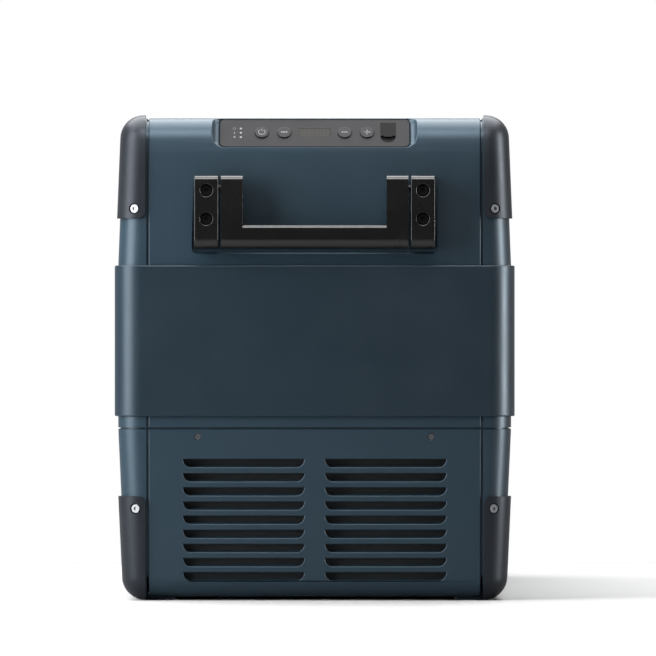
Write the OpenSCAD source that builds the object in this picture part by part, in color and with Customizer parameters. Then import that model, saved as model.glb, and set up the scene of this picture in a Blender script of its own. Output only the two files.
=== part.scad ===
// Compressor cooler fridge for caravans and off-road vehicles.
// A drafted, moulded cabinet with a proud middle band, a fixed control housing at one end,
// a side-hinged lid, a swing handle at each end and the cooling unit behind a louvred panel.
// The origin is on the floor under the middle of the cabinet. The control end faces -Y,
// the lid's hinges are on +X and its latch is on -X.

/* [Cabinet] */
// Width over the middle band
band_w = 396; // [394:1:398]
// Length over the middle band
band_l = 640; // [638:1:642]
// Height of the moulded top above the floor
top_z = 477; // [476:1:478]
// How far the band stands proud of the cabinet walls
band_proud = 3.5; // [3:0.5:4]
// Wall thickness of the moulded shells
wall = 3; // [2.8:0.1:3]
// Plan radius of the cabinet's upright corners
corner_r = 23.5; // [23:0.5:24]
// Radius of the top and bottom edges
edge_r = 20; // [19:0.5:20.5]
// Thickness of the corner guards
guard_t = 3; // [2.8:0.1:3]

/* [Control panel] */
// Lean of the control panel back from upright, in degrees
fascia_lean = 38; // [37:1:39]
// Length of the fascia
fascia_w = 187; // [184:1:188]
// Radius of the four push buttons
button_r = 6.8; // [6.5:0.1:7]
// Travel of the push buttons
button_travel = 0.8; // [0.6:0.1:0.9]

/* [Vents] */
// Louvres in each of the two columns
louvres = 9; // [7:1:9]
// Height of one louvre slot
louvre_h = 8; // [7:0.5:8]
// Distance between louvres
louvre_pitch = 14; // [13.5:0.25:14]

/* [Handles] */
// Half the distance between the handle brackets' outer faces
bracket_out = 118.2; // [117:0.1:119]
// How far the handles stand out from the mounting pocket
handle_depth = 28.8; // [28:0.2:30]

/* [Hidden] */
$fn = 32;

// Colours
body_blue = "#2f4350";
guard_grey = "#3b3d42";
handle_black = "#1d1d20";
fascia_grey = "#5c5d61";
liner_grey = "#c9cdd0";

// Levels of the cabinet
bottom_z = guard_t;                 // the guards' soles are the feet
split_z = 170;                      // seam between the lower and upper shells
seam = 1.8;                         // width of the shadow gaps
band_z = [182, 331];                // lower and upper edge of the band
band_r = corner_r + band_proud;
body_w = band_w - 2 * band_proud;
body_l = band_l - 2 * band_proud;
draft_up = 1.9;
draft_low = 2.2;
seam_z = top_z - 46;                // the lid's parting plane
liner_top = seam_z - 1;
shell_top = liner_top - 3.1;
lid_z = seam_z + 1;
deck_y = -238;                      // back of the control housing's deck
lid_y = deck_y + 2.5;               // front face of the lid
panel_x = 163.9;                    // half width of the end panels
opening_x = 166.1;                  // half width of the openings they fill
end_y = 290;                        // the end panels reach from here outwards
panel_t = 2.5;                      // thickness of the end panels
tongue = 2;                         // thickness of the lips behind the seams
fit_gap = 0.1;                      // gap between mouldings that lie on each other
edge_steps = 4;
big = 2 * band_l;

// Vents
louvre_x = [10.3, 129.9];           // inner and outer end of a slot
louvre_top = 140;                   // upper edge of the first slot
blade = [6, 4.5, 1.3];              // depth, rise and thickness of a blade behind a slot
filter_half = 134;
filter_y = [-301, -297];
filter_z = [14, 147];
vent_screw = [115, 162];
side_vent_y = [-274, -170];
side_vent_z = 106;
side_vent_pitch = 13;
side_vent_h = 6;

// Control panel frame: the middle of the recess floor
fascia_h = 35;
fascia_t = 2;
fascia_y = -299.3;
fascia_z = top_z - 16.1;
button_x = [-52.2, -30.1, 29.7, 51.8];
usb_x = 72.6;
usb_w = 14.2;                       // width of the flap over the socket
usb_hinge = 11.7;                   // height of the flap's hinge line on the panel
usb_body = [12.8, 17.6];            // width and height of the socket behind the panel
display = [31, 11];
board = [170, 26, 1.6];
board_z = -8;
lamp_x = -73;
lamp_pitch = 5.5;

// Handles: the pocket is upright while the end wall leans back
pocket = [120, 343, 432];           // half width, lower edge, upper edge
pocket_y = 313.2;
handle_front = pocket_y + handle_depth;
handle_z = [346.5, 419];
bracket_in = 94.8;
arm_x = [70.8, 92.2];
arm_back = 322;                     // back of the arms and the grip, outwards from the middle
front_round = 4.5;                  // radius along a bracket's upper front edge
grip_round = 3.6;
low_round = 11;                     // radius along the lower front edges
pivot_y = 330;
pivot_z = 407;
pivot_r = 3;
screw_x = 106.5;
bore_r = 6.2;                       // counterbores for the bracket screws
bore_depth = 9;
bracket_screw_z = [376.5, 404.5];
grip_top = 370.5;

// Guards and their screws
guard_x = 167.2;
guard_y = 286;
guard_up_z = 377.5;
guard_low_z = 103;
guard_turn = 20;                    // the screws' lean from the end face, round the corner
guard_screw_z = [91, 387];
guard_bore_r = 5.3;
cap_screw_z = 446;

// Cold box
liner_t = 2.5;
box_x = 150;
main_y = [-110, 275];
main_floor = 55;
step_y = -212;
step_floor = 290;
liner_r = 20;
foam_x = 184;
foam_y = [-266, 305];
unit_y = -150;                      // back wall of the cooling unit's bay
unit_z = 248;
plug_gap = 4;
plug_z = 415;

// Basket: width, length and height over its rims
basket = [282, 360, 305];
basket_z = 60;
basket_rim = 4.2;
basket_wire = 3.2;

// Drain
drain_z = 66;
drain_r = 8;

// Hinges and latch
hinge_x = band_w / 2 - 5;
hinge_z = seam_z;
hinge_y = [-100, 180];
knuckle_r = 5;
pin_r = 2;
leaf_x = [187.2, 193.5];            // inner and outer face of the hinge blocks
leaf_half = 32;                     // half length of a hinge
outer_knuckle = 15;                 // width of each of the base's two knuckles
inner_knuckle = 32.8;               // width of the leaf's knuckle between them
base_z = [398, 425.4];              // lower and upper edge of the hinge bases' blocks
leaf_z = [437.4, 460];
latch_y = 40;
latch_w = 110;
latch_pivot = [-188.6, 459];
latch_pocket_x = -185.5;
latch_x = [-193.8, -190.6];         // outer and inner face of the lever
latch_z = [405, 464.6];             // lower and upper edge of the lever
latch_pocket_z = [403.4, 466.6];
trunnion_r = 1.3;
keeper_lip_x = -187.6;

// Cooling unit
comp_at = [-72, -222];
foot_at = [42, 38];                 // the compressor's feet from its middle
fan_at = [88, -263, 84];
fan_r = 54;
fan_half = 60;
fan_screw = 52.5;
coil_y = -284;                      // middle of the condenser's depth
coil_x = [22, 154];
coil_pitch = 24;
coil_z = 36;                        // lowest pass of the condenser's tube

// Power inlets in the side wall
inlet_y = [-256, -206];             // low voltage and mains
inlet_z = 60;
inlet_half = [17, 12];
inlet_face = body_w / 2 - 2.6;
inlet_depth = 13;

// ---------------------------------------------------------------- helpers

// Rectangle with true arcs at its corners
module rounded(w, l, r) {
    square([w - 2 * r, l], center = true);
    square([w, l - 2 * r], center = true);
    for (x = [-1, 1], y = [-1, 1])
        translate([x * (w / 2 - r), y * (l / 2 - r)]) circle(r = r);
}

// Block between two heights with rounded upright corners
module block(x0, x1, y0, y1, z0, z1, r) {
    translate([(x0 + x1) / 2, (y0 + y1) / 2, z0])
        linear_extrude(z1 - z0) rounded(x1 - x0, y1 - y0, r);
}

// Box from its lowest to its highest corner
module box(a, b) {
    translate(a) cube([for (i = [0:2]) b[i] - a[i]]);
}

function inset_at(z) =
    z < split_z ? tan(draft_low) * (split_z - z)
    : z > band_z[1] ? tan(draft_up) * (z - band_z[1]) : 0;

// Cones that round off one end of a corner, from the flat base or top (0) to full width
module edge_cones(g) {
    for (i = [0:edge_steps - 1]) {
        a = 90 * i / edge_steps;
        b = 90 * (i + 1) / edge_steps;
        translate([0, 0, edge_r - (edge_r + g) * cos(a)])
            cylinder(r1 = corner_r - edge_r + (edge_r + g) * sin(a),
                r2 = corner_r - edge_r + (edge_r + g) * sin(b),
                h = (edge_r + g) * (cos(a) - cos(b)));
    }
}

// One upright corner of the cabinet's skin, grown outwards by g
module corner_post(g) {
    cx = body_w / 2 - corner_r;
    cy = body_l / 2 - corner_r;
    low = inset_at(bottom_z + edge_r);
    up = inset_at(top_z - edge_r);
    hull() {
        translate([cx - low, cy - low, bottom_z]) edge_cones(g);
        translate([cx, cy, split_z]) cylinder(r = corner_r + g, h = band_z[1] - split_z);
        translate([cx - up, cy - up, top_z]) mirror([0, 0, 1]) edge_cones(g);
    }
}

// Solid of the drafted cabinet, grown outwards by g
module skin(g) {
    hull() for (sx = [0, 1], sy = [0, 1])
        mirror([sx, 0, 0]) mirror([0, sy, 0]) corner_post(g);
}

// The part of a wall that lies between two heights, from g0 inside to g1 outside
module skin_wall(g0, g1, z0, z1) {
    intersection() {
        difference() {
            skin(g1);
            skin(g0);
        }
        box([-big, -big, z0], [big, big, z1]);
    }
}

module mirrored_x() {
    children();
    mirror([1, 0, 0]) children();
}

// Places what is drawn for the control end at the far end
module at_rear() {
    mirror([0, 1, 0]) children();
}

// Frame on the cabinet's upright corner: local +Z points outwards along the corner's normal
module on_corner(sx, sy, z) {
    cx = body_w / 2 - inset_at(z) - corner_r;
    cy = body_l / 2 - inset_at(z) - corner_r;
    translate([sx * cx, sy * cy, z])
        rotate([0, 0, atan2(sy * cos(guard_turn), sx * sin(guard_turn))])
            rotate([0, 90, 0]) children();
}

// Frame on the control panel's recess floor: local X along it, Y up the slope, Z outwards
module on_fascia() {
    translate([0, fascia_y, fascia_z]) rotate([90 - fascia_lean, 0, 0]) children();
}

// ---------------------------------------------------------------- outer mouldings

// Opening in the control end's wall for its panel; a panel is cut with its own half width
module end_opening(half_w, z0, z1) {
    box([-half_w, -big, z0], [half_w, -end_y + (half_w - opening_x) / 4, z1]);
}

// Lips behind the upright seams, which carry the edges of an end panel
module seam_lips(z0, z1) {
    intersection() {
        skin_wall(-wall - tongue, -panel_t - fit_gap, z0, z1);
        mirrored_x() box([panel_x - 7, -big, z0], [opening_x + 4, -end_y + 4, z1]);
    }
}

// Clearance holes for the guards' screws at one height
module guard_screw_holes(z, r) {
    for (sx = [-1, 1], sy = [-1, 1])
        on_corner(sx, sy, z) cylinder(r = r, h = 60, $fn = 24);
}

module side_vents() {
    mirrored_x() for (i = [0:3])
        box([body_w / 2 - 32, side_vent_y[0], side_vent_z + i * side_vent_pitch - side_vent_h / 2],
            [body_w / 2 + 8, side_vent_y[1], side_vent_z + i * side_vent_pitch + side_vent_h / 2]);
}

module lower_shell() {
    color(body_blue) difference() {
        union() {
            difference() {
                skin_wall(-wall, 0, 0, split_z - seam / 2);
                end_opening(opening_x, 0, split_z);
                at_rear() end_opening(opening_x, 0, split_z);
            }
            seam_lips(bottom_z + edge_r, split_z - 18);
            at_rear() seam_lips(bottom_z + edge_r, split_z - 18);
        }
        // rebate for the upper shell's tongue
        intersection() {
            skin(-panel_t);
            box([-big, -big, split_z - 16], [big, big, split_z]);
        }
        side_vents();
        guard_screw_holes(guard_screw_z[0], 2.2);
        for (y = inlet_y)
            box([160, y - inlet_half[0] - 0.2, inlet_z - inlet_half[1] - 0.2],
                [big, y + inlet_half[0] + 0.2, inlet_z + inlet_half[1] + 0.2]);
    }
}

// One louvre: a flat upper edge, a lower edge that runs out in quarter circles
module louvre(x0, x1, z_top) {
    translate([0, -end_y, 0]) rotate([90, 0, 0]) linear_extrude(60) intersection() {
        union() {
            translate([x0 + louvre_h, z_top - louvre_h]) square([x1 - x0 - 2 * louvre_h, louvre_h]);
            for (x = [x0 + louvre_h, x1 - louvre_h]) translate([x, z_top]) circle(r = louvre_h);
        }
        translate([x0 - 1, z_top - louvre_h]) square([x1 - x0 + 2, louvre_h]);
    }
}

module lower_end_wall() {
    intersection() {
        skin_wall(-panel_t, 0, 0, split_z - seam / 2);
        end_opening(panel_x, 0, split_z);
    }
}

// Blade behind a slot: it rises inwards from the slot's lower edge and hides the unit
module vent_blade(z) {
    y = body_l / 2 - inset_at(z) - panel_t + 0.5;
    translate([louvre_x[0] + 2, -y, z]) rotate([90, 0, 90])
        linear_extrude(louvre_x[1] - louvre_x[0] - 4)
            polygon([[0, -blade[2]], [0.5, 0], [blade[0], blade[1]], [blade[0], blade[1] - blade[2]]]);
}

// Upright rails on the panel's inside, which hold the dust filter between them
module filter_rails() {
    intersection() {
        skin(-1);
        mirrored_x() box([filter_half + 0.1, -big, filter_z[0] + 12],
            [filter_half + 2.1, filter_y[1] + 1, filter_z[1] - 4]);
    }
}

module vent_panel() {
    color(body_blue) {
        difference() {
            lower_end_wall();
            mirrored_x() for (i = [0:louvres - 1])
                louvre(louvre_x[0], louvre_x[1], louvre_top - i * louvre_pitch);
            mirrored_x() translate([vent_screw[0], -end_y, vent_screw[1]])
                rotate([90, 0, 0]) cylinder(r = 3.1, h = 60, $fn = 24);
        }
        mirrored_x() for (i = [0:louvres - 1])
            vent_blade(louvre_top - louvre_h - i * louvre_pitch);
        filter_rails();
    }
}

// Sheet of open-cell foam that keeps dust off the condenser
module dust_filter() {
    color("#17181a") box([-filter_half, filter_y[0], filter_z[0]],
        [filter_half, filter_y[1], filter_z[1]]);
}

module vent_screws() {
    color(handle_black) mirrored_x()
        translate([vent_screw[0], -body_l / 2 + 1.8, vent_screw[1]]) rotate([90, 0, 0])
            difference() {
                union() {
                    cylinder(r = 2.9, h = 1.7);
                    translate([0, 0, -9]) cylinder(r = 1.6, h = 9.5);
                }
                for (a = [0, 90]) rotate([0, 0, a])
                    translate([-1.7, -0.4, 0.7]) cube([3.4, 0.8, 2]);
            }
}

module rear_lower_panel() {
    color(body_blue) difference() {
        at_rear() lower_end_wall();
        translate([0, end_y - 20, drain_z]) rotate([-90, 0, 0])
            cylinder(r = drain_r + 3.4, h = 80, $fn = 24);
    }
}

module hinge_windows(z0, z1) {
    for (y = hinge_y)
        box([leaf_x[0] - 0.05, y - leaf_half - 0.6, z0], [big, y + leaf_half + 0.6, z1]);
}

module latch_window(z0, z1) {
    box([-big, latch_y - latch_w / 2 - 1, z0], [latch_pocket_x, latch_y + latch_w / 2 + 1, z1]);
}

// Housings moulded behind the latch and the hinge blocks, between two heights
module latch_housing(z0, z1) {
    intersection() {
        skin(-1);
        box([-big, latch_y - latch_w / 2 - 4, z0],
            [latch_pocket_x + 1.45, latch_y + latch_w / 2 + 4, z1]);
    }
}

module hinge_housings(z0, z1) {
    intersection() {
        skin(-1);
        for (y = hinge_y) box([leaf_x[0] - 1.6, y - leaf_half - 4, z0], [big, y + leaf_half + 4, z1]);
    }
}

module upper_shell() {
    color(body_blue) difference() {
        union() {
            difference() {
                union() {
                    skin_wall(-wall, 0, split_z + seam / 2, shell_top);
                    intersection() {
                        skin_wall(-wall, 0, shell_top - 1, top_z + 1);
                        box([-big, -big, 0], [big, deck_y, big]);
                    }
                    intersection() {
                        skin(-1);
                        box([-big, deck_y - wall + 0.5, seam_z - 4], [big, deck_y + 0.5, top_z]);
                    }
                }
                end_opening(opening_x, 0, big);
                box([-opening_x, -big, top_z - wall - 0.5],
                    [opening_x, deck_y - wall + 0.4, big]);
                at_rear() end_opening(opening_x, 0, seam_z);
            }
            // tongue behind the seam to the lower shell
            skin_wall(-wall - tongue, -panel_t - fit_gap, split_z - 14, split_z + 8);
            seam_lips(split_z + 6, top_z - edge_r);
            at_rear() seam_lips(split_z + 6, shell_top);
            // ledges under the deck
            mirrored_x() box([panel_x - 7, -end_y + 2, top_z - panel_t - 3],
                [opening_x + 4, deck_y - 1, top_z - panel_t - fit_gap]);
            box([-panel_x, deck_y - 8, top_z - panel_t - 3],
                [panel_x, deck_y - 1, top_z - panel_t - fit_gap]);
            latch_housing(latch_pocket_z[0] - 2.4, shell_top);
            hinge_housings(base_z[0] - 2.5, shell_top);
        }
        hinge_windows(base_z[0] - 0.4, seam_z);
        latch_window(latch_pocket_z[0], seam_z);
        guard_screw_holes(guard_screw_z[1], 2.2);
        mirrored_x() translate([vent_screw[0], -end_y, vent_screw[1]])
            rotate([90, 0, 0]) cylinder(r = 1.75, h = 60, $fn = 24);
    }
}

// Upright floor behind a handle, and the pocket cut in front of it
module pocket_floor() {
    intersection() {
        skin(-0.4);
        box([-pocket[0] - 3, -pocket_y - 3, pocket[1] - 3], [pocket[0] + 3, -pocket_y + 3.4, 428]);
    }
}

module pocket_cut() {
    box([-pocket[0], -big, pocket[1]], [pocket[0], -pocket_y, pocket[2]]);
}

module bracket_screw_bores(r) {
    mirrored_x() for (z = bracket_screw_z)
        translate([screw_x, -end_y, z]) rotate([90, 0, 0]) cylinder(r = r, h = 80, $fn = 24);
}

// Flared hollow over the control panel, grown by g all round
module control_recess(g) {
    on_fascia() hull() {
        translate([0, 0, -g]) linear_extrude(1)
            rounded(fascia_w + 1 + 2 * g, fascia_h + 1 + 2 * g, 5);
        translate([0, 0, 14]) linear_extrude(1)
            rounded(fascia_w + 19 + 2 * g, fascia_h + 8 + 2 * g, 9);
    }
}

module front_panel() {
    color(body_blue) difference() {
        union() {
            intersection() {
                skin_wall(-panel_t, 0, split_z + seam / 2, top_z + 1);
                union() {
                    end_opening(panel_x, 0, top_z + 1);
                    box([-panel_x, -big, top_z - panel_t], [panel_x, deck_y - wall - 0.2, big]);
                }
            }
            pocket_floor();
            intersection() {
                skin(0);
                control_recess(2.4);
            }
        }
        pocket_cut();
        control_recess(0);
        bracket_screw_bores(3.2);
        on_fascia() {
            for (x = button_x) translate([x, 0, -6]) cylinder(r = button_r + 0.5, h = 8);
            translate([-display[0] / 2, -display[1] / 2, -6]) cube([display[0], display[1], 8]);
            translate([usb_x - 6.6, -9, -6]) cube([13.2, 18, 8]);
            for (i = [-1:1]) translate([lamp_x, i * lamp_pitch, -6]) cylinder(r = 1.4, h = 8, $fn = 16);
        }
    }
}

module rear_panel() {
    color(body_blue) at_rear() difference() {
        union() {
            intersection() {
                skin_wall(-panel_t, 0, split_z + seam / 2, shell_top);
                end_opening(panel_x, 0, shell_top);
            }
            intersection() {
                pocket_floor();
                box([-big, -big, 0], [big, 0, shell_top]);
            }
        }
        pocket_cut();
        bracket_screw_bores(3.2);
    }
}

module middle_band() {
    color(body_blue) difference() {
        block(-band_w / 2, band_w / 2, -band_l / 2, band_l / 2, band_z[0], band_z[1], band_r);
        block(-body_w / 2 - 0.1, body_w / 2 + 0.1, -body_l / 2 - 0.1, body_l / 2 + 0.1,
            band_z[0] - 1, band_z[1] + 1, corner_r + 0.1);
    }
}

// ---------------------------------------------------------------- corner guards

// Takes the sharp corner off the free end of a guard, seen on the end face and on the side
module guard_corner_cut(z, up) {
    r = 8;
    translate([guard_x, -guard_y - 80, z]) rotate([-90, 0, 0])
        linear_extrude(160) difference() {
            translate([-1, up > 0 ? -r : -1]) square([r + 1, r + 1]);
            translate([r, up * -r]) circle(r = r);
        }
    translate([0, -guard_y, z]) rotate([90, 0, 90])
        linear_extrude(400) difference() {
            translate([-r, up > 0 ? -1 : -r]) square([r + 1, r + 1]);
            translate([-r, up * r]) circle(r = r);
        }
}

// One guard: a moulding over the corner, its free end cut round, with a counterbored screw
module guard(z0, z1, cut_z, up, screw_z) {
    difference() {
        intersection() {
            skin_wall(0.05, guard_t, z0, z1);
            box([guard_x, -big, z0], [big, -guard_y, z1]);
        }
        guard_corner_cut(cut_z, up);
        on_corner(1, -1, screw_z) cylinder(r = guard_bore_r, h = 60, $fn = 24);
    }
}

module upper_front_guards() {
    color(guard_grey) mirrored_x() guard(guard_up_z, big, guard_up_z, 1, guard_screw_z[1]);
}

module upper_rear_guards() {
    color(guard_grey) at_rear() mirrored_x()
        guard(guard_up_z, seam_z - 1.2, guard_up_z, 1, guard_screw_z[1]);
}

// The lower guards end in flat foot pads under the base
module lower_guards() {
    color(guard_grey) mirrored_x() {
        guard(-1, guard_low_z, guard_low_z, -1, guard_screw_z[0]);
        block(138, 168.8, -290.8, -252, 0, bottom_z - 0.05, corner_r - edge_r);
    }
}

// Pan-head screw with a hexagon socket, seated on the cabinet's skin
module guard_screw() {
    difference() {
        union() {
            translate([0, 0, corner_r + 0.15]) cylinder(r = 4.1, h = 2.3);
            translate([0, 0, corner_r - 5.5]) cylinder(r = 1.9, h = 6);
        }
        translate([0, 0, corner_r + 1]) cylinder(r = 2, h = 3, $fn = 6);
    }
}

module guard_screws() {
    color("silver") for (sx = [-1, 1], sy = [-1, 1], z = guard_screw_z)
        on_corner(sx, sy, z) guard_screw();
}

module lid_corner_caps() {
    color(guard_grey) at_rear() mirrored_x() difference() {
        intersection() {
            skin_wall(0.05, guard_t, lid_z + 1, big);
            box([guard_x, -big, lid_z], [big, -guard_y, big]);
        }
        on_corner(1, -1, cap_screw_z) cylinder(r = guard_bore_r, h = 60, $fn = 24);
    }
}

module lid_cap_screws() {
    color("silver") for (sx = [-1, 1]) on_corner(sx, 1, cap_screw_z) guard_screw();
}

// ---------------------------------------------------------------- handles

// Side profile of a handle part in (depth, height), depth measured outwards from the pocket
module side_profile(back, bottom, top, r_top, r_bottom, r_back) {
    hull() {
        translate([handle_front - r_top, top - r_top]) circle(r = r_top);
        translate([handle_front - r_bottom, bottom + r_bottom]) circle(r = r_bottom);
        for (z = [bottom + r_back, top - r_back]) translate([back + r_back, z]) circle(r = r_back);
    }
}

// Extrudes a (depth, height) profile along X at the control end
module along_x(x0, x1) {
    translate([x0, 0, 0]) rotate([90, 0, -90]) mirror([0, 0, 1]) linear_extrude(x1 - x0) children();
}

module bracket() {
    difference() {
        along_x(bracket_in, bracket_out)
            side_profile(pocket_y, handle_z[0], handle_z[1], front_round, low_round, 1);
        for (z = bracket_screw_z) translate([screw_x, 0, z]) rotate([90, 0, 0]) {
            translate([0, 0, handle_front - bore_depth]) cylinder(r = bore_r, h = 12);
            translate([0, 0, pocket_y - 1]) cylinder(r = 3.2, h = handle_depth);
        }
        translate([bracket_in - 1, -pivot_y, pivot_z]) rotate([0, 90, 0])
            cylinder(r = pivot_r + 0.02, h = 5.7);
    }
}

module front_brackets() {
    color(handle_black) mirrored_x() bracket();
}

module bracket_screw() {
    translate([screw_x, 0, 0]) rotate([90, 0, 0]) difference() {
        union() {
            translate([0, 0, handle_front - bore_depth]) cylinder(r = 5, h = 5.5);
            translate([0, 0, pocket_y - 8]) cylinder(r = 2.9, h = handle_depth);
        }
        translate([0, 0, handle_front - 6.5]) cylinder(r = 2.9, h = 4, $fn = 6);
    }
}

module bracket_screws() {
    color(handle_black) for (side = [0, 1]) mirror([0, side, 0]) mirrored_x()
        for (z = bracket_screw_z) translate([0, 0, z]) bracket_screw();
}

module handle_pivots() {
    color("silver") for (side = [0, 1]) mirror([0, side, 0]) mirrored_x()
        translate([arm_x[1] - 14, -pivot_y, pivot_z]) rotate([0, 90, 0])
            cylinder(r = pivot_r, h = bracket_in + 4.6 - arm_x[1] + 14);
}

module arm() {
    difference() {
        along_x(arm_x[0], arm_x[1]) union() {
            side_profile(arm_back, handle_z[0], handle_z[1], front_round, low_round, 6);
            translate([pivot_y, pivot_z]) circle(r = 11.4);
        }
        translate([arm_x[1] - 15, -pivot_y, pivot_z]) rotate([0, 90, 0])
            cylinder(r = pivot_r + 0.08, h = 20);
    }
}

module front_handle_arms() {
    color(handle_black) mirrored_x() arm();
}

module front_grip() {
    color(handle_black) along_x(-arm_x[0], arm_x[0])
        side_profile(arm_back, handle_z[0], grip_top, grip_round, low_round, 6);
}

// ---------------------------------------------------------------- control panel

module control_fascia() {
    color(fascia_grey) on_fascia() difference() {
        translate([0, 0, 0.05]) linear_extrude(fascia_t) rounded(fascia_w, fascia_h, 5);
        for (x = button_x) translate([x, 0, -1]) cylinder(r = button_r + 0.25, h = 5);
        translate([-display[0] / 2, -display[1] / 2, -1]) cube([display[0], display[1], 5]);
        translate([usb_x - usb_w / 2 - 0.3, -4.5, -1]) cube([usb_w + 0.6, 17.5, 5]);
        translate([usb_x, -5, -1]) cylinder(r = 7.4, h = 5);
        for (i = [-1:1]) translate([lamp_x, i * lamp_pitch, -1]) cylinder(r = 1.2, h = 5);
    }
}

module display_window() {
    color("#54554f") on_fascia()
        translate([-display[0] / 2 + 0.1, -display[1] / 2 + 0.1, -2])
            cube([display[0] - 0.2, display[1] - 0.2, fascia_t + 1.95]);
}

module indicator_lights() {
    color("white") on_fascia() for (i = [-1:1])
        translate([lamp_x, i * lamp_pitch, -2]) cylinder(r = 1.1, h = fascia_t + 2.2);
}

// The board stands behind the recess floor, round the socket, with a switch under each button
module control_board() {
    color("darkgreen") on_fascia() {
        difference() {
            translate([-board[0] / 2, -board[1] / 2, board_z]) cube(board);
            translate([usb_x - usb_body[0] / 2 - 0.4, -usb_body[1] / 2 - 0.4, board_z - 1])
                cube([usb_body[0] + 0.8, usb_body[1] + 0.8, 4]);
        }
        for (x = button_x) translate([x - 3, -3, board_z + board[2] - 0.1]) cube([6, 6, 3]);
    }
}

// Push button: a cap with a softened rim, held by a flange, over a stem
module push_button(i) {
    color(fascia_grey) on_fascia() translate([button_x[i], 0, 0]) {
        translate([0, 0, -1]) cylinder(r = button_r, h = 3.6);
        translate([0, 0, 2.6]) cylinder(r1 = button_r, r2 = button_r - 0.8, h = 0.8);
        translate([0, 0, -1]) cylinder(r = button_r + 0.4, h = 0.9);
        translate([0, 0, -2.65]) cylinder(r = 2, h = 2);
    }
}

module usb_socket() {
    color("#111114") on_fascia() difference() {
        union() {
            translate([usb_x - usb_body[0] / 2, -usb_body[1] / 2, -14])
                cube([usb_body[0], usb_body[1], 14]);
            translate([usb_x, 0, 0.1]) linear_extrude(0.5) intersection() {
                union() {
                    translate([-7.2, -4.5]) square([14.4, 17.2]);
                    translate([0, -5]) circle(r = 7.2);
                }
                square([14.4, 25.4], center = true);
            }
        }
        translate([usb_x - 6, 1.5, -13]) cube([12, 5, 20]);
    }
    color("white") on_fascia() translate([usb_x - 5, 2, -13.2]) cube([10, 1.9, 11.2]);
}

// Rubber flap over the socket, hinged along its upper edge
module usb_cover() {
    color("#1a1a1d") on_fascia() translate([usb_x, 0, 0]) {
        translate([-usb_w / 2, -4.2, 0.8]) cube([usb_w, usb_hinge + 4.2, 2]);
        translate([-usb_w / 2, usb_hinge, 1.8]) rotate([0, 90, 0]) cylinder(r = 1, h = usb_w);
        translate([-4, -5.4, 1.6]) cube([8, 2, 1.2]);
    }
}

// ---------------------------------------------------------------- cold box

// Inside of the cold box, grown by g: a deep well and a shallow shelf over the cooling unit
module cold_space(g, top) {
    block(-box_x - g, box_x + g, main_y[0] - g, main_y[1] + g, main_floor - g, top, liner_r + g);
    block(-box_x - g, box_x + g, step_y - g, main_y[1] + g, step_floor - g, top, liner_r + g);
}

module drain_bore(r) {
    translate([0, main_y[1] - 8, drain_z]) rotate([-90, 0, 0]) cylinder(r = r, h = 60);
}

module inner_liner() {
    color(liner_grey) difference() {
        union() {
            cold_space(liner_t, liner_top - 1);
            block(-190.4, 190.4, deck_y + 0.8, 312.4, liner_top - 3, liner_top, corner_r - 0.8);
        }
        cold_space(0, seam_z + 10);
        hinge_windows(380, seam_z + 10);
        latch_window(380, seam_z + 10);
        drain_bore(drain_r + 2.1);
    }
}

module insulation_foam() {
    color("khaki") difference() {
        union() {
            block(-foam_x, foam_x, foam_y[0], foam_y[1], 24, liner_top - 3.3, 16);
            block(-175, 175, foam_y[0], 297, 9, 25, 14);
        }
        cold_space(liner_t + 0.2, seam_z);
        box([-big, -big, 0], [big, unit_y, unit_z]);
        // room for the evaporator tube round the deep well
        block(-box_x - liner_t - 8, box_x + liner_t + 8, main_y[0] - liner_t - 8,
            main_y[1] + liner_t + 8, 74, 238, liner_r + liner_t + 8);
        drain_bore(drain_r + 2.3);
    }
}

// One closed turn of the evaporator tube round the well
module coil_turn(z) {
    r = 3;
    off = liner_t + r + 0.3;
    turn_r = liner_r + off;
    hx = box_x + off;
    y0 = main_y[0] - off;
    y1 = main_y[1] + off;
    translate([0, 0, z]) {
        for (x = [-hx, hx]) translate([x, y0 + turn_r, 0]) rotate([-90, 0, 0])
            cylinder(r = r, h = y1 - y0 - 2 * turn_r);
        for (y = [y0, y1]) translate([turn_r - hx, y, 0]) rotate([0, 90, 0])
            cylinder(r = r, h = 2 * (hx - turn_r));
        for (c = [[1, 1, 0], [-1, 1, 90], [-1, -1, 180], [1, -1, 270]])
            translate([c[0] * (hx - turn_r), c[1] > 0 ? y1 - turn_r : y0 + turn_r, 0])
                rotate([0, 0, c[2]]) rotate_extrude(angle = 90) translate([turn_r, 0]) circle(r = r);
    }
}

module evaporator_coil() {
    color("silver") {
        for (z = [90:28:230]) coil_turn(z);
        translate([box_x + liner_t + 3.3, 0, 90]) cylinder(r = 3, h = 140);
    }
}

module interior_light() {
    color("white") box([-22, step_y + 0.05, 392], [22, step_y + 3, 404]);
}

// Flat welded panel of the basket, w wide over its rim: a frame with bars both ways
module wire_panel(w, h, bars, rows) {
    rim = basket_rim;
    wire = basket_wire;
    for (x = [-1, 1]) translate([x * (w - rim) / 2, 0, h / 2]) cube([rim, rim, h], center = true);
    for (z = [rim / 2, h - rim / 2]) translate([0, 0, z]) cube([w, rim, rim], center = true);
    for (i = [1:bars]) translate([-w / 2 + i * w / (bars + 1), 0, h / 2])
        cube([wire, wire, h - 1], center = true);
    for (i = [1:rows]) translate([0, 0, i * h / (rows + 1)]) cube([w - 1, wire, wire], center = true);
}

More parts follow.
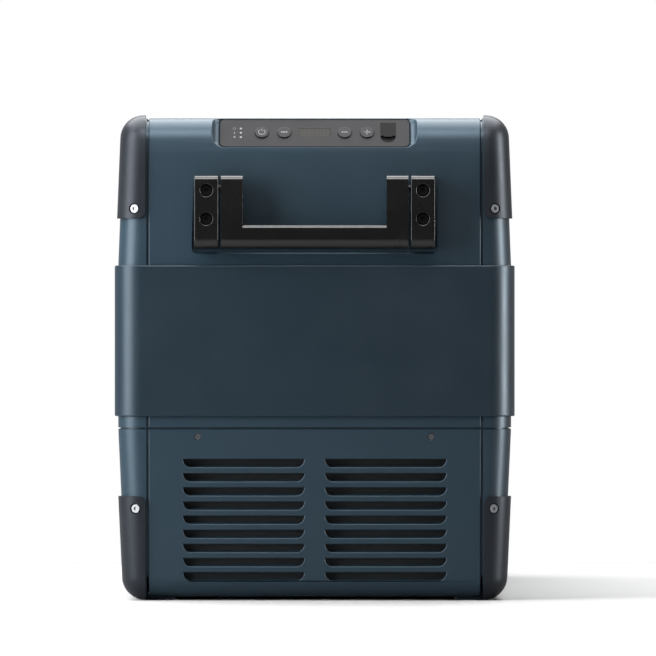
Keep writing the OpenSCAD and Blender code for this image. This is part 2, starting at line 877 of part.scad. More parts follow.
module wire_basket() {
    rim = basket_rim;
    color("gainsboro") translate([0, (main_y[0] + main_y[1]) / 2, basket_z]) {
        for (s = [-1, 1]) {
            translate([s * (basket[0] - rim) / 2, 0, 0]) rotate([0, 0, 90])
                wire_panel(basket[1], basket[2], 7, 4);
            translate([0, s * (basket[1] - rim) / 2, 0])
                wire_panel(basket[0] - 2 * rim - 0.1, basket[2], 5, 4);
        }
        translate([0, -basket[1] / 2 + rim + 0.05, rim / 2]) rotate([-90, 0, 0])
            wire_panel(basket[0] - 2 * rim - 0.1, basket[1] - 2 * rim - 0.1, 5, 7);
    }
}

module drain_spout() {
    color(liner_grey) difference() {
        translate([0, main_y[1] + 0.2, drain_z]) rotate([-90, 0, 0]) union() {
            cylinder(r = drain_r + 2, h = 36);
            translate([0, 0, 35.4]) cylinder(r = drain_r + 3.2, h = 2);
        }
        translate([0, main_y[1] - 1, drain_z]) rotate([-90, 0, 0]) cylinder(r = drain_r, h = 60);
    }
}

// Screw-in stopper: a stem in the spout and a ribbed head outside
module drain_plug() {
    color(handle_black) translate([0, main_y[1], drain_z]) rotate([-90, 0, 0]) difference() {
        union() {
            translate([0, 0, 4]) cylinder(r = drain_r - 0.08, h = 36);
            translate([0, 0, 37.8]) cylinder(r = drain_r + 3, h = 5);
        }
        for (a = [0:30:330]) rotate([0, 0, a]) translate([drain_r + 3.4, 0, 36])
            cylinder(r = 1, h = 8);
    }
}

// ---------------------------------------------------------------- cooling unit

module chassis_plate() {
    color("silver") difference() {
        box([-165, -290, bottom_z + wall + 0.05], [165, unit_y - 4, bottom_z + wall + 1.5]);
        for (x = [-1, 1] * foot_at[0], y = [-1, 1] * foot_at[1]) translate([comp_at[0] + x, comp_at[1] + y, 0])
            cylinder(r = 3, h = 20);
    }
}

module compressor() {
    color("#26282b") translate([comp_at[0], comp_at[1], 0]) {
        difference() {
            translate([-52, -48, 24]) cube([104, 96, 2.5]);
            for (x = [-1, 1] * foot_at[0], y = [-1, 1] * foot_at[1]) translate([x, y, 20]) cylinder(r = 3, h = 10);
        }
        translate([0, 0, 26]) cylinder(r = 40, h = 14);
        translate([0, 0, 38]) cylinder(r = 46, h = 66);
        translate([0, 0, 72]) cylinder(r = 48, h = 3);
        translate([0, 0, 104]) cylinder(r1 = 46, r2 = 30, h = 14);
        translate([30, -20, 55]) cube([24, 40, 36]);
    }
}

module compressor_grommets() {
    color(handle_black) for (x = [-1, 1] * foot_at[0], y = [-1, 1] * foot_at[1])
        translate([comp_at[0] + x, comp_at[1] + y, 0]) difference() {
            union() {
                translate([0, 0, bottom_z + wall + 1.6]) cylinder(r = 8, h = 16.3);
                translate([0, 0, 20]) cylinder(r = 2.9, h = 8);
                translate([0, 0, 26.6]) cylinder(r = 5, h = 2);
            }
            translate([0, 0, -1]) cylinder(r = 1.5, h = 40);
        }
}

// Serpentine tube between flat fins, in front of the fan
module condenser() {
    x0 = coil_x[0];
    x1 = coil_x[1];
    mid = coil_z + 2 * coil_pitch;
    color("silver") {
        for (i = [0:10]) translate([x0 + 6 + i * 12, coil_y, mid]) cube([0.8, 16, 120], center = true);
        for (i = [0:4]) translate([x0, coil_y, coil_z + coil_pitch * i]) rotate([0, 90, 0])
            cylinder(r = 3.2, h = x1 - x0);
        for (i = [0:3]) translate([i % 2 == 0 ? x1 : x0, coil_y, coil_z + coil_pitch * (i + 0.5)])
            rotate([90, 0, 0]) rotate([0, 0, i % 2 == 0 ? -90 : 90])
                rotate_extrude(angle = 180) translate([coil_pitch / 2, 0]) circle(r = 3.2);
    }
}

module fan_frame() {
    color(handle_black) translate(fan_at) rotate([90, 0, 0]) {
        difference() {
            translate([0, 0, -12]) linear_extrude(24) rounded(2 * fan_half, 2 * fan_half, 6);
            translate([0, 0, -20]) cylinder(r = fan_r + 2, h = 40);
            for (x = [-1, 1] * fan_screw, y = [-1, 1] * fan_screw) translate([x, y, -20])
                cylinder(r = 2.2, h = 40);
        }
        translate([0, 0, -12]) cylinder(r = 18, h = 4);
        for (a = [45:90:315]) rotate([0, 0, a]) translate([16, -2, -12]) cube([fan_r - 13, 4, 3]);
        translate([0, 0, -9]) cylinder(r = 2, h = 14);
    }
}

module fan_rotor() {
    color("#2a2a2e") translate(fan_at) rotate([90, 0, 0]) {
        difference() {
            translate([0, 0, -7]) cylinder(r = 19, h = 17);
            translate([0, 0, -20]) cylinder(r = 2.06, h = 26);
        }
        for (a = [0:360 / 7:359]) rotate([0, 0, a]) translate([17, 0, 1.5]) rotate([32, 0, 0])
            translate([0, -9, -0.8]) cube([fan_r - 19, 18, 1.6]);
    }
}

module power_module() {
    color("#303236") difference() {
        box([36, -236, bottom_z + wall + 1.6], [150, -172, 92]);
        for (i = [0:6]) box([44 + 15 * i, -240, 82], [50 + 15 * i, -160, 100]);
    }
}

// Straight tube between two points that differ along one axis, with round ends
module tube(a, b, r) {
    hull() for (p = [a, b]) translate(p) sphere(r = r, $fn = 16);
}

// A run of tubes through a list of points
module run(points, r) {
    for (i = [0:len(points) - 2]) tube(points[i], points[i + 1], r);
}

// Discharge line to the condenser, liquid line with its filter drier, and suction line
module refrigerant_lines() {
    color("#b0653a") {
        run([[-80, -240, 122], [-80, -240, 156], [162, -240, 156], [162, -284, 156],
            [162, -284, 132], [157.2, -284, 132]], 3);
        run([[18.8, -284, 36], [4, -284, 36], [4, -170, 36], [4, -170, 196], [4, -153, 196]], 2.5);
        translate([4, -170, 70]) cylinder(r = 9, h = 60);
        run([[-60, -205, 122.6], [-60, -205, 199], [-60, -154.2, 199]], 4);
    }
}

// Body of a power inlet with its socket cavity open towards +X
module inlet(y, cavity, pin_gap, r) {
    difference() {
        box([168, y - inlet_half[0], inlet_z - inlet_half[1]],
            [inlet_face, y + inlet_half[0], inlet_z + inlet_half[1]]);
        translate([inlet_face - inlet_depth, y, inlet_z]) rotate([90, 0, 90])
            linear_extrude(20) rounded(cavity[0], cavity[1], cavity[2]);
    }
    for (s = [-1, 1]) translate([inlet_face - inlet_depth - 0.5, y + s * pin_gap, inlet_z])
        rotate([0, 90, 0]) cylinder(r = r, h = 10);
}

module dc_inlet() {
    color("#151517") inlet(inlet_y[0], [24, 12, 2], 6, 1.4);
}

module ac_inlet() {
    color("#151517") inlet(inlet_y[1], [18, 9, 4.4], 4.3, 1.2);
}

// ---------------------------------------------------------------- lid

module lid_outer() {
    color(body_blue) difference() {
        union() {
            intersection() {
                skin_wall(-wall, 0, lid_z, top_z + 1);
                box([-big, lid_y, 0], [big, big, big]);
            }
            intersection() {
                skin(-1);
                box([-big, lid_y, lid_z], [big, lid_y + wall, big]);
            }
            latch_housing(lid_z, latch_pocket_z[1] + 2.9);
            hinge_housings(lid_z, leaf_z[1] + 3.5);
        }
        hinge_windows(seam_z - 2, leaf_z[1] + 0.6);
        latch_window(seam_z - 2, latch_pocket_z[1]);
        for (sx = [-1, 1]) on_corner(sx, 1, cap_screw_z) cylinder(r = 2.2, h = 60, $fn = 24);
        translate([latch_pivot[0], latch_y, latch_pivot[1]]) rotate([90, 0, 0])
            cylinder(r = trunnion_r + 0.08, h = latch_w + 7, center = true, $fn = 24);
    }
}

module lid_plug(g, z0, z1) {
    block(-box_x + plug_gap + g, box_x - plug_gap - g, step_y + plug_gap + g,
        main_y[1] - plug_gap - g, z0, z1, liner_r - plug_gap - min(g, 4));
}

module lid_liner() {
    color(liner_grey) difference() {
        union() {
            difference() {
                block(-184, 184, lid_y + wall + 0.2, 308, lid_z + 0.2, lid_z + 2.7, 17);
                gasket_ring(0.3, lid_z - 1, lid_z + 1.5);
            }
            lid_plug(0, plug_z, lid_z + 2.7);
        }
        lid_plug(liner_t, plug_z + liner_t, seam_z + 20);
    }
}

module lid_foam() {
    color("khaki") {
        lid_plug(liner_t + 0.2, plug_z + liner_t + 0.2, lid_z + 4);
        block(-181, 181, lid_y + wall + 0.4, 303, lid_z + 3, top_z - 9.5, 16);
        block(-172, 172, lid_y + wall + 0.4, 294, top_z - 10, top_z - wall - 0.4, 10);
    }
}

// Ring between the rims, grown by g
module gasket_ring(g, z0, z1) {
    difference() {
        block(-169 - g, 169 + g, -229 - g, 293 + g, z0, z1, 26 + g);
        block(-157 + g, 157 - g, -217 + g, 281 - g, z0 - 1, z1 + 1, 14 - g);
    }
}

module lid_gasket() {
    color("#202022") gasket_ring(0, liner_top + 0.3, lid_z + 1.4);
}

// ---------------------------------------------------------------- hinges and latch

module hinge_bases() {
    color(handle_black) for (y = hinge_y) difference() {
        union() {
            box([leaf_x[0], y - leaf_half, base_z[0]], [leaf_x[1], y + leaf_half, base_z[1]]);
            for (s = [-1, 1]) translate([0, y + s * (leaf_half - outer_knuckle / 2), 0]) {
                box([leaf_x[0] + 2, -outer_knuckle / 2, base_z[1] - 1],
                    [leaf_x[1], outer_knuckle / 2, hinge_z]);
                translate([hinge_x, 0, hinge_z]) rotate([90, 0, 0])
                    cylinder(r = knuckle_r, h = outer_knuckle, center = true);
            }
        }
        translate([hinge_x, y, hinge_z]) rotate([90, 0, 0])
            cylinder(r = pin_r + 0.02, h = 80, center = true);
    }
}

module hinge_pins() {
    color("silver") for (y = hinge_y) translate([hinge_x, y, hinge_z]) rotate([90, 0, 0])
        cylinder(r = pin_r, h = 2 * leaf_half, center = true);
}

module hinge_leaves() {
    color(handle_black) for (y = hinge_y) difference() {
        union() {
            box([leaf_x[0], y - leaf_half, leaf_z[0]], [leaf_x[1], y + leaf_half, leaf_z[1]]);
            box([leaf_x[0] + 2, y - inner_knuckle / 2, hinge_z],
                [leaf_x[1], y + inner_knuckle / 2, leaf_z[0] + 0.6]);
            translate([hinge_x, y, hinge_z]) rotate([90, 0, 0])
                cylinder(r = knuckle_r, h = inner_knuckle, center = true);
        }
        translate([hinge_x, y, hinge_z]) rotate([90, 0, 0])
            cylinder(r = pin_r + 0.08, h = 80, center = true);
    }
}

// Pull lever over the seam, turning on trunnions in the lid's pocket
module lid_latch() {
    color(handle_black) {
        box([latch_x[0], latch_y - latch_w / 2, latch_z[0]],
            [latch_x[1], latch_y + latch_w / 2, latch_z[1]]);
        box([latch_x[0] - 1.8, latch_y - 30, latch_z[0]], [latch_x[0] + 0.2, latch_y + 30, latch_z[0] + 4]);
        for (s = [-1, 1])
            box([latch_x[1] - 0.2, latch_y + s * 40 - 2, latch_z[0] + 15],
                [latch_x[1] + 3.2, latch_y + s * 40 + 2, latch_z[1] - 2.6]);
        box([latch_x[1] - 0.2, latch_y - 18, latch_z[0] + 4.4],
            [keeper_lip_x - 0.4, latch_y + 18, latch_z[0] + 7.9]);
        translate([latch_pivot[0], latch_y, latch_pivot[1]]) rotate([90, 0, 0]) {
            cylinder(r = 2.6, h = latch_w - 1, center = true);
            cylinder(r = trunnion_r, h = latch_w + 6, center = true);
        }
    }
}

// Catch plate in the cabinet's pocket, its lip just over the lever's nose
module latch_keeper() {
    color("silver") {
        box([latch_pocket_x - 0.95, latch_y - 26, latch_z[0]],
            [latch_pocket_x - 0.05, latch_y + 26, latch_z[0] + 15]);
        box([keeper_lip_x, latch_y - 20, latch_z[0] + 8.3],
            [latch_pocket_x - 0.5, latch_y + 20, latch_z[0] + 10]);
    }
}

// ---------------------------------------------------------------- assembly

lower_shell();
vent_panel();
dust_filter();
vent_screws();
rear_lower_panel();
upper_shell();
front_panel();
rear_panel();
middle_band();
upper_front_guards();  // guards_upper_front
upper_rear_guards();  // guards_upper_rear
lower_guards();  // guards_lower_front
at_rear() lower_guards();  // guards_lower_rear
guard_screws();
front_brackets();
at_rear() front_brackets();  // rear_brackets
bracket_screws();
handle_pivots();
front_handle_arms();
front_grip();
at_rear() front_handle_arms();  // rear_handle_arms
at_rear() front_grip();  // rear_grip
control_fascia();
display_window();
indicator_lights();
control_board();
usb_socket();
usb_cover();
push_button(0);  // power_button
push_button(1);  // set_button
push_button(2);  // minus_button
push_button(3);  // plus_button
inner_liner();
insulation_foam();
evaporator_coil();
interior_light();
wire_basket();
drain_spout();
drain_plug();
chassis_plate();
compressor();
compressor_grommets();
condenser();
fan_frame();
fan_rotor();
power_module();
refrigerant_lines();
dc_inlet();
ac_inlet();
lid_outer();
lid_liner();
lid_foam();
lid_gasket();
lid_corner_caps();
lid_cap_screws();
hinge_bases();
hinge_pins();
hinge_leaves();
lid_latch();
latch_keeper();
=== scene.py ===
# %% [markdown]
# # A compressor fridge for caravans, finished in Blender
# The measured model already exists: a cabinet, a lid, handles and a cooling unit, each a named
# part that moves on its own joint. This lesson loads it as a fixed frame and dresses it. The
# large mouldings are rebuilt with rounded edges, and every surface gets its real finish.

# %% Load the measured model
import math
import bpy
import bmesh
from mathutils import Matrix, Vector


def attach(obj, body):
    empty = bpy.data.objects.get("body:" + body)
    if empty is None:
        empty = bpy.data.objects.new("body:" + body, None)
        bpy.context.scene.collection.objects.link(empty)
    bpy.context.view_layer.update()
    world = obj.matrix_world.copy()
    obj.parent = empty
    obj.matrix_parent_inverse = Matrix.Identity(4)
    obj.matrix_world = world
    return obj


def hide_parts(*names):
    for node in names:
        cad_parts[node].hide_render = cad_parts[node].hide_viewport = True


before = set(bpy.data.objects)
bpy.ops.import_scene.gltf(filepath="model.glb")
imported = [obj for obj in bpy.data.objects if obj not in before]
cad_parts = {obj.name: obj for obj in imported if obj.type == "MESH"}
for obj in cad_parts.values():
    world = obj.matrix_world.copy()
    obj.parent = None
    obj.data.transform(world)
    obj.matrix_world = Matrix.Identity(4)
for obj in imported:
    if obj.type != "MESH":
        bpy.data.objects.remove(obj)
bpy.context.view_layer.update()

# %% [markdown]
# A cabinet is shown best straight at its control end, from about six metres and a little above
# its middle. A long lens from far away keeps upright lines upright, so the camera stands
# level in front of the end and isn't tilted.

# %% Camera
camera = bpy.data.objects.new("camera", bpy.data.cameras.new("camera"))
bpy.context.collection.objects.link(camera)
camera.location = (0.01318, -6.5, 0.2692)
camera.rotation_euler = (math.radians(90), 0, 0)
camera.data.lens = 344.0
camera.data.sensor_width = 36
bpy.context.scene.camera = camera
print("camera at", tuple(round(v, 3) for v in camera.location))

# %% [markdown]
# Materials are node networks. One small function adds a node, sets what is given and links its
# inputs, and another turns the hex colours that designers use into the linear numbers that the
# renderer needs.

# %% Node and colour helpers
def colour(hex_code):
    """An sRGB hex value as a linear colour with alpha."""
    parts = [int(hex_code[i:i + 2], 16) / 255 for i in (1, 3, 5)]
    return [c / 12.92 if c <= 0.04045 else ((c + 0.055) / 1.055) ** 2.4 for c in parts] + [1.0]


def add_node(tree, kind, links=None, **settings):
    """Adds a node; settings name an attribute or, failing that, an input socket."""
    node = tree.nodes.new(kind)
    for name, value in settings.items():
        if hasattr(node, name):
            setattr(node, name, value)
        else:
            node.inputs[name.replace("_", " ")].default_value = value
    for name, source in (links or {}).items():
        tree.links.new(source, node.inputs[name])
    return node


def new_material(name):
    """An empty material with its output, and its node tree."""
    material = bpy.data.materials.new(name)
    material.use_nodes = True
    material.node_tree.nodes.clear()
    return material, material.node_tree


def close_material(material, shader):
    tree = material.node_tree
    output = tree.nodes.new("ShaderNodeOutputMaterial")
    tree.links.new(shader.outputs[0], output.inputs["Surface"])
    return material

# %% [markdown]
# Most of this fridge is injection-moulded plastic. The mould's steel is spark-eroded, which
# leaves a fine, soft grain: it spreads the highlights and hides scratches. A real grain is about
# half a millimetre wide; it is drawn coarser, at 0.6 to 0.9 mm, so that it can be seen. The
# colour drifts by a percent or two over a large moulding, and hands and dust leave it a little
# uneven in gloss. The tint colours the highlights, and the sheen sets their strength.

# %% Moulded plastic
plastic_ior = 1.49


def moulded_plastic(name, base, deep, roughness, grain_mm=0.9, depth_mm=0.02, spread=0.05,
                    tint="#ffffff", sheen=0.5):
    """Spark-eroded moulded plastic: a grain in the surface, slight drift in colour and gloss."""
    material, tree = new_material(name)
    place = add_node(tree, "ShaderNodeTexCoord")
    # Object coordinates are in metres: a scale of 1000 / size in mm gives one feature per size
    grain = add_node(tree, "ShaderNodeTexNoise", {"Vector": place.outputs["Object"]},
                     Scale=1000 / grain_mm, Detail=2.0, Roughness=0.6)
    drift = add_node(tree, "ShaderNodeTexNoise", {"Vector": place.outputs["Object"]},
                     Scale=1000 / 140.0, Detail=3.0, Roughness=0.5)
    smear = add_node(tree, "ShaderNodeTexNoise", {"Vector": place.outputs["Object"]},
                     Scale=1000 / 45.0, Detail=5.0, Roughness=0.6)
    tone = add_node(tree, "ShaderNodeMix", {"Factor": drift.outputs["Fac"]}, data_type="RGBA")
    tone.inputs["A"].default_value = colour(base)
    tone.inputs["B"].default_value = colour(deep)
    gloss = add_node(tree, "ShaderNodeMapRange", {"Value": smear.outputs["Fac"]},
                     From_Min=0.3, From_Max=0.7, To_Min=roughness - spread, To_Max=roughness + spread)
    bump = add_node(tree, "ShaderNodeBump", {"Height": grain.outputs["Fac"]},
                    Distance=depth_mm * 0.001, Strength=1.0)
    shader = add_node(tree, "ShaderNodeBsdfPrincipled",
                      {"Base Color": tone.outputs["Result"], "Roughness": gloss.outputs["Result"],
                       "Normal": bump.outputs["Normal"]}, IOR=plastic_ior)
    shader.inputs["Specular Tint"].default_value = colour(tint)
    shader.inputs["Specular IOR Level"].default_value = sheen
    return close_material(material, shader)


# Polypropylene has a waxy half-gloss, and its pigment tints even the highlights a little blue
petrol_tint = "#dcf0ff"
cabinet_plastic = moulded_plastic("moulded polypropylene, dark petrol blue", "#223440", "#253743", 0.4,
                                  spread=0.025, tint=petrol_tint)
# The band is the same plastic drawn darker: painted shade, because the upright band looks darker than the
# shells above and below that lean towards the light
shaded_band_plastic = moulded_plastic("moulded polypropylene, deep petrol blue", "#182731", "#1a2934", 0.4,
                               spread=0.025, tint=petrol_tint)
# ABS takes a finer grain than polypropylene: the guards look drier and greyer than the shells
guard_plastic = moulded_plastic("moulded ABS, charcoal", "#1d2025", "#202328", 0.42, 0.8,
                                tint="#e6f0ff", sheen=0.3)
# Glass-filled nylon is nearly black and smooth: its upper edges catch a hard, bright line
handle_plastic = moulded_plastic("glass-filled nylon, black", "#0b0b0c", "#0e0e0f", 0.27, 0.7, 0.006,
                                 spread=0.02, sheen=0.6)
# The fascia faces the overhead panel, so its low sheen is what keeps it grey
fascia_plastic = moulded_plastic("moulded ABS, mid grey", "#19191c", "#1c1c1f", 0.58, 0.6, sheen=0.22)
button_plastic = moulded_plastic("moulded ABS, slate grey", "#111114", "#141417", 0.42, 0.6, sheen=0.25)
# Vacuum forming stretches a smooth sheet: the liner is pale, even and slightly glossy
liner_plastic = moulded_plastic("vacuum-formed polystyrene, pale grey", "#8d9396", "#969c9f", 0.34, 1.5)
dark_plastic = moulded_plastic("moulded ABS, black", "#101113", "#141517", 0.45, 0.7)
# Rubber and silicone scatter what they reflect, so they look flat and soft
seal_rubber = moulded_plastic("rubber, black", "#121213", "#161617", 0.62, 0.8, sheen=0.2)
cover_rubber = moulded_plastic("silicone rubber, black", "#060607", "#08080a", 0.6, 0.8, sheen=0.12)
print("plastics:", [m.name for m in bpy.data.materials])

# %% [markdown]
# The metal parts are small: zinc-plated screws, steel pins, aluminium tube and copper pipe.
# Each has the fine lines or the mottling of how it was made.

# %% Metals
def plated_metal(name, base, roughness, line_mm=0.4, along=(1, 1, 1)):
    """Drawn or plated metal; along stretches the pattern into lines."""
    material, tree = new_material(name)
    place = add_node(tree, "ShaderNodeTexCoord")
    turn = add_node(tree, "ShaderNodeMapping", {"Vector": place.outputs["Object"]})
    turn.inputs["Scale"].default_value = along
    lines = add_node(tree, "ShaderNodeTexNoise", {"Vector": turn.outputs["Vector"]},
                     Scale=1000 / line_mm, Detail=3.0, Roughness=0.7)
    gloss = add_node(tree, "ShaderNodeMapRange", {"Value": lines.outputs["Fac"]},
                     From_Min=0.3, From_Max=0.7, To_Min=roughness - 0.07, To_Max=roughness + 0.07)
    bump = add_node(tree, "ShaderNodeBump", {"Height": lines.outputs["Fac"]},
                    Distance=0.000008, Strength=1.0)
    shader = add_node(tree, "ShaderNodeBsdfPrincipled",
                      {"Roughness": gloss.outputs["Result"], "Normal": bump.outputs["Normal"]},
                      Metallic=1.0)
    shader.inputs["Base Color"].default_value = colour(base)
    return close_material(material, shader)


# Bright zinc mirrors its surroundings softly; a passivated coat is duller and greyer
zinc_steel = plated_metal("zinc-plated steel", "#8f9194", 0.34)
dull_zinc = plated_metal("passivated zinc plate", "#7d8085", 0.32)
# Black oxide leaves the steel's gloss and takes its colour
black_steel = plated_metal("black-oxide steel", "#2a2a2c", 0.38)
# Drawn tube keeps fine lines along its length
aluminium = plated_metal("mill-finish aluminium", "#c4c7ca", 0.34, 0.5, (1, 0.1, 1))
copper = plated_metal("drawn copper tube", "#b87250", 0.3, 0.5, (1, 1, 0.2))
# Enamel and powder coat are paints: smooth, with a slight orange peel
painted_steel = moulded_plastic("stove-enamelled steel, black", "#1a1b1d", "#202124", 0.35, 1.6, 0.03)
coated_wire = moulded_plastic("powder-coated steel wire, white", "#d3d6d8", "#dcdfe0", 0.3, 1.2, 0.04)
# Foams have deep pores and no gloss at all
# The filter foam is charcoal; the colour is also painted shade for the dark inside the vent slots
filter_foam_and_shade = moulded_plastic("open-cell filter foam, charcoal with painted slot shade", "#24282b", "#2b2f33", 0.95, 1.6, 0.5)
foam_skin = moulded_plastic("poured polyurethane foam", "#9c967c", "#8f896e", 0.9, 2.5, 0.2)
# Solder mask is a glossy green lacquer
circuit_green = moulded_plastic("solder-masked circuit board", "#174526", "#1c4f2d", 0.35, 3.0)

# %% [markdown]
# Three small things stand out from the fascia: the smoked window over the display, the milky
# lamp lenses and the printed marks.

# %% Lenses and print
# The window is a brown-black close to the fascia's grey
smoked_window = moulded_plastic("smoked acrylic", "#1c1b17", "#1e1d19", 0.5, 3.0, 0.002,
                                spread=0.02, sheen=0.2)
# A diffusing lens is milky: it shows as a pale dot when its lamp is off
lamp_lens = moulded_plastic("diffusing polycarbonate", "#85878b", "#8d8f93", 0.4, 2.0, 0.004, sheen=0.25)
# Printed ink is matt and pale; unlit segments are barely lighter than their window
grey_print = moulded_plastic("pad-printed ink, light grey", "#7b7c81", "#828388", 0.5, 0.4, 0.004,
                             sheen=0.25)
segment_ink = moulded_plastic("unlit display segments", "#2b2a24", "#2e2d27", 0.5, 2.0, 0.002, sheen=0.2)

# %% [markdown]
# All mouldings are modelled in millimetres and turned to metres when they are finished. The
# finishing helper makes an object from a bmesh, puts it on its body, hides the measured parts
# it stands for, and adds the modifiers that make a moulding look moulded: a wall thickness, a
# small rounding on each sharp edge, and normals that keep the flats flat.

# %% Making an object from a bmesh
def link_mesh(name, bm):
    """Turns a bmesh in millimetres into an object in metres at the origin."""
    bmesh.ops.scale(bm, vec=(0.001, 0.001, 0.001), verts=bm.verts)
    mesh = bpy.data.meshes.new(name)
    bm.to_mesh(mesh)
    bm.free()
    piece = bpy.data.objects.new(name, mesh)
    bpy.context.collection.objects.link(piece)
    return piece


def round_edges(bm, edges, radius, steps):
    """Bevels edges into arcs."""
    bmesh.ops.bevel(bm, geom=edges, offset=radius, segments=steps, profile=0.5, affect="EDGES",
                    material=-1)


def settle(piece):
    """Applies every modifier the piece has, so the next step works on the result."""
    graph = bpy.context.evaluated_depsgraph_get()
    mesh = bpy.data.meshes.new_from_object(piece.evaluated_get(graph))
    piece.modifiers.clear()
    piece.data = mesh
    return piece


def combine(piece, other, how):
    """Cuts, joins or intersects with another object, then removes that one."""
    step = piece.modifiers.new(how, "BOOLEAN")
    step.operation = how
    step.object = other
    step.solver = "EXACT"
    settle(piece)
    bpy.data.objects.remove(other)
    return piece


def cut(piece, bm):
    """Cuts a hollow of a bmesh's shape."""
    return combine(piece, link_mesh("cutter", bm), "DIFFERENCE")


def thicken(piece, wall_mm):
    """Gives a sheet a wall on its inner side."""
    step = piece.modifiers.new("wall", "SOLIDIFY")
    step.thickness = wall_mm * 0.001
    step.offset = -1
    step.use_even_offset = True
    return settle(piece)


def finish_piece(piece, body, nodes, material, round_mm=0.8, steps=2, clamp=True):
    """Rounds the sharp edges, smooths the rest, paints the piece and puts it on its body."""
    if round_mm:
        step = piece.modifiers.new("rounding", "BEVEL")
        step.width = round_mm * 0.001
        step.segments = steps
        step.limit_method = "ANGLE"
        step.angle_limit = math.radians(32)
        step.use_clamp_overlap = clamp
    piece.data.shade_smooth()
    piece.modifiers.new("normals", "WEIGHTED_NORMAL").keep_sharp = False
    piece.data.materials.clear()
    piece.data.materials.append(material)
    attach(piece, body)
    if nodes:
        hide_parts(*nodes)
    return piece

# %% [markdown]
# The cabinet is one drafted form: upright in the middle, leaning in above and below so that it
# leaves its mould, with round corners and softly rounded upper and lower edges. It starts as a
# cube. Its upright edges are bevelled into arcs, a few level cuts give it rows of points to
# lean, and the top and bottom edges are bevelled. At the control end a second, slight lean
# starts under the top edge, so that its rounding begins slowly. Grown by a few millimetres, the
# same form gives the outside of the corner guards.

# %% The cabinet's form
band_z = (182.0, 331.0)
split_z = 170.0
seam = 1.8
half_width, half_length, corner_radius = 194.5, 316.5, 23.5
bottom_z, top_z, edge_radius = 3.0, 477.0, 20.0
lower_slope, upper_slope = math.tan(math.radians(2.2)), math.tan(math.radians(1.9))
lean_levels = (441, 444.5, 451, 455)


def draft(z):
    """How far the walls lean in at a height."""
    if z < split_z:
        return lower_slope * (split_z - z)
    if z > band_z[1]:
        return upper_slope * (z - band_z[1])
    return 0.0


def soft_lean(z, start=439.0, end=462.0, slope=0.14):
    """Extra lean under the control end's top edge, which lets its rounding begin slowly."""
    t = min(max(z - start, 0) / (end - start), 1)
    return slope * ((end - start) * t * t / 2 + max(z - end, 0))


def cabinet_form(grow=0.0, sharper=0.0):
    """The drafted cabinet as a closed bmesh in millimetres, grown outwards."""
    z0, z1 = bottom_z - grow, top_z + grow
    bm = bmesh.new()
    size = Matrix.Diagonal((2 * (half_width + grow), 2 * (half_length + grow), z1 - z0, 1))
    bmesh.ops.create_cube(bm, size=1, matrix=Matrix.Translation((0, 0, (z0 + z1) / 2)) @ size)
    upright = [e for e in bm.edges if abs(e.verts[0].co.z - e.verts[1].co.z) > 1]
    round_edges(bm, upright, corner_radius + grow - sharper, 14)
    for z in (split_z, band_z[1]):
        bmesh.ops.bisect_plane(bm, geom=bm.verts[:] + bm.edges[:] + bm.faces[:],
                               plane_co=(0, 0, z), plane_no=(0, 0, 1))
    for v in bm.verts:
        lean = draft(v.co.z)
        v.co.x -= math.copysign(lean, v.co.x)
        v.co.y -= math.copysign(lean, v.co.y)
    rims = [e for e in bm.edges if any(all(abs(v.co.z - z) < 0.01 for v in e.verts) for z in (z0, z1))]
    round_edges(bm, rims, edge_radius + grow, 9)
    cut_lines(bm, 2, *lean_levels)
    for v in bm.verts:
        if v.co.y < 0:
            v.co.y += soft_lean(v.co.z)
    bmesh.ops.recalc_face_normals(bm, faces=bm.faces[:])
    return bm


def cut_lines(bm, axis, *places):
    """Level cuts through the whole form at places along an axis."""
    for place in places:
        normal = Vector((0, 0, 0))
        normal[axis] = 1
        bmesh.ops.bisect_plane(bm, geom=bm.verts[:] + bm.edges[:] + bm.faces[:],
                               plane_co=normal * place, plane_no=normal, dist=1e-4)


def keep_faces(bm, test):
    """Deletes the faces whose centre fails the test."""
    drop = [f for f in bm.faces if not test(f.calc_center_median())]
    bmesh.ops.delete(bm, geom=drop, context="FACES")


form = cabinet_form()
print("cabinet form:", len(form.faces), "faces")
form.free()

# %% [markdown]
# Cutters and plain mouldings come from two more helpers: a block whose edges along one axis are
# bevelled into arcs, and a round bar that may taper.

# %% Blocks and bars
def rounded_block(low, high, radius=0.0, axis=2, segments=8):
    """A block between two corners, with its edges along one axis rounded."""
    low, high = Vector(low), Vector(high)
    bm = bmesh.new()
    place = Matrix.Translation((low + high) / 2) @ Matrix.Diagonal((*(high - low), 1))
    bmesh.ops.create_cube(bm, size=1, matrix=place)
    if radius:
        along = [e for e in bm.edges if abs((e.verts[0].co - e.verts[1].co)[axis]) > 1e-6]
        round_edges(bm, along, radius, segments)
    bmesh.ops.recalc_face_normals(bm, faces=bm.faces[:])
    return bm


# Turns that lay a bar along X and along Y
across = Matrix.Rotation(math.pi / 2, 4, "Y")
outwards = Matrix.Rotation(math.pi / 2, 4, "X")


def disc(radius, low, high, matrix=Matrix(), segments=48, tip=None):
    """A round bar from low to high along local Z, placed by a matrix; tip is the far radius."""
    bm = bmesh.new()
    place = matrix @ Matrix.Translation((0, 0, (low + high) / 2))
    bmesh.ops.create_cone(bm, cap_ends=True, segments=segments, radius1=radius,
                          radius2=radius if tip is None else tip, depth=high - low, matrix=place)
    return bm


def merge(target, source):
    """Adds one bmesh's geometry to another."""
    mesh = bpy.data.meshes.new("step")
    source.to_mesh(mesh)
    source.free()
    target.from_mesh(mesh)
    bpy.data.meshes.remove(mesh)
    return target

# %% [markdown]
# The lower shell is the drafted form from the base up to the shadow gap, with an opening at
# each end for an end panel. Faces outside it are dropped, and the sheet gets a 3 mm wall.

# %% Lower shell
panel_half, opening_half, end_y = 163.9, 166.1, 289.0


def wall_piece(name, test, lines, wall, grow=0.0):
    """Part of the cabinet's form as a moulding with a wall."""
    bm = cabinet_form(grow)
    for axis, places in lines.items():
        cut_lines(bm, axis, *places)
    keep_faces(bm, test)
    return thicken(link_mesh(name, bm), wall)


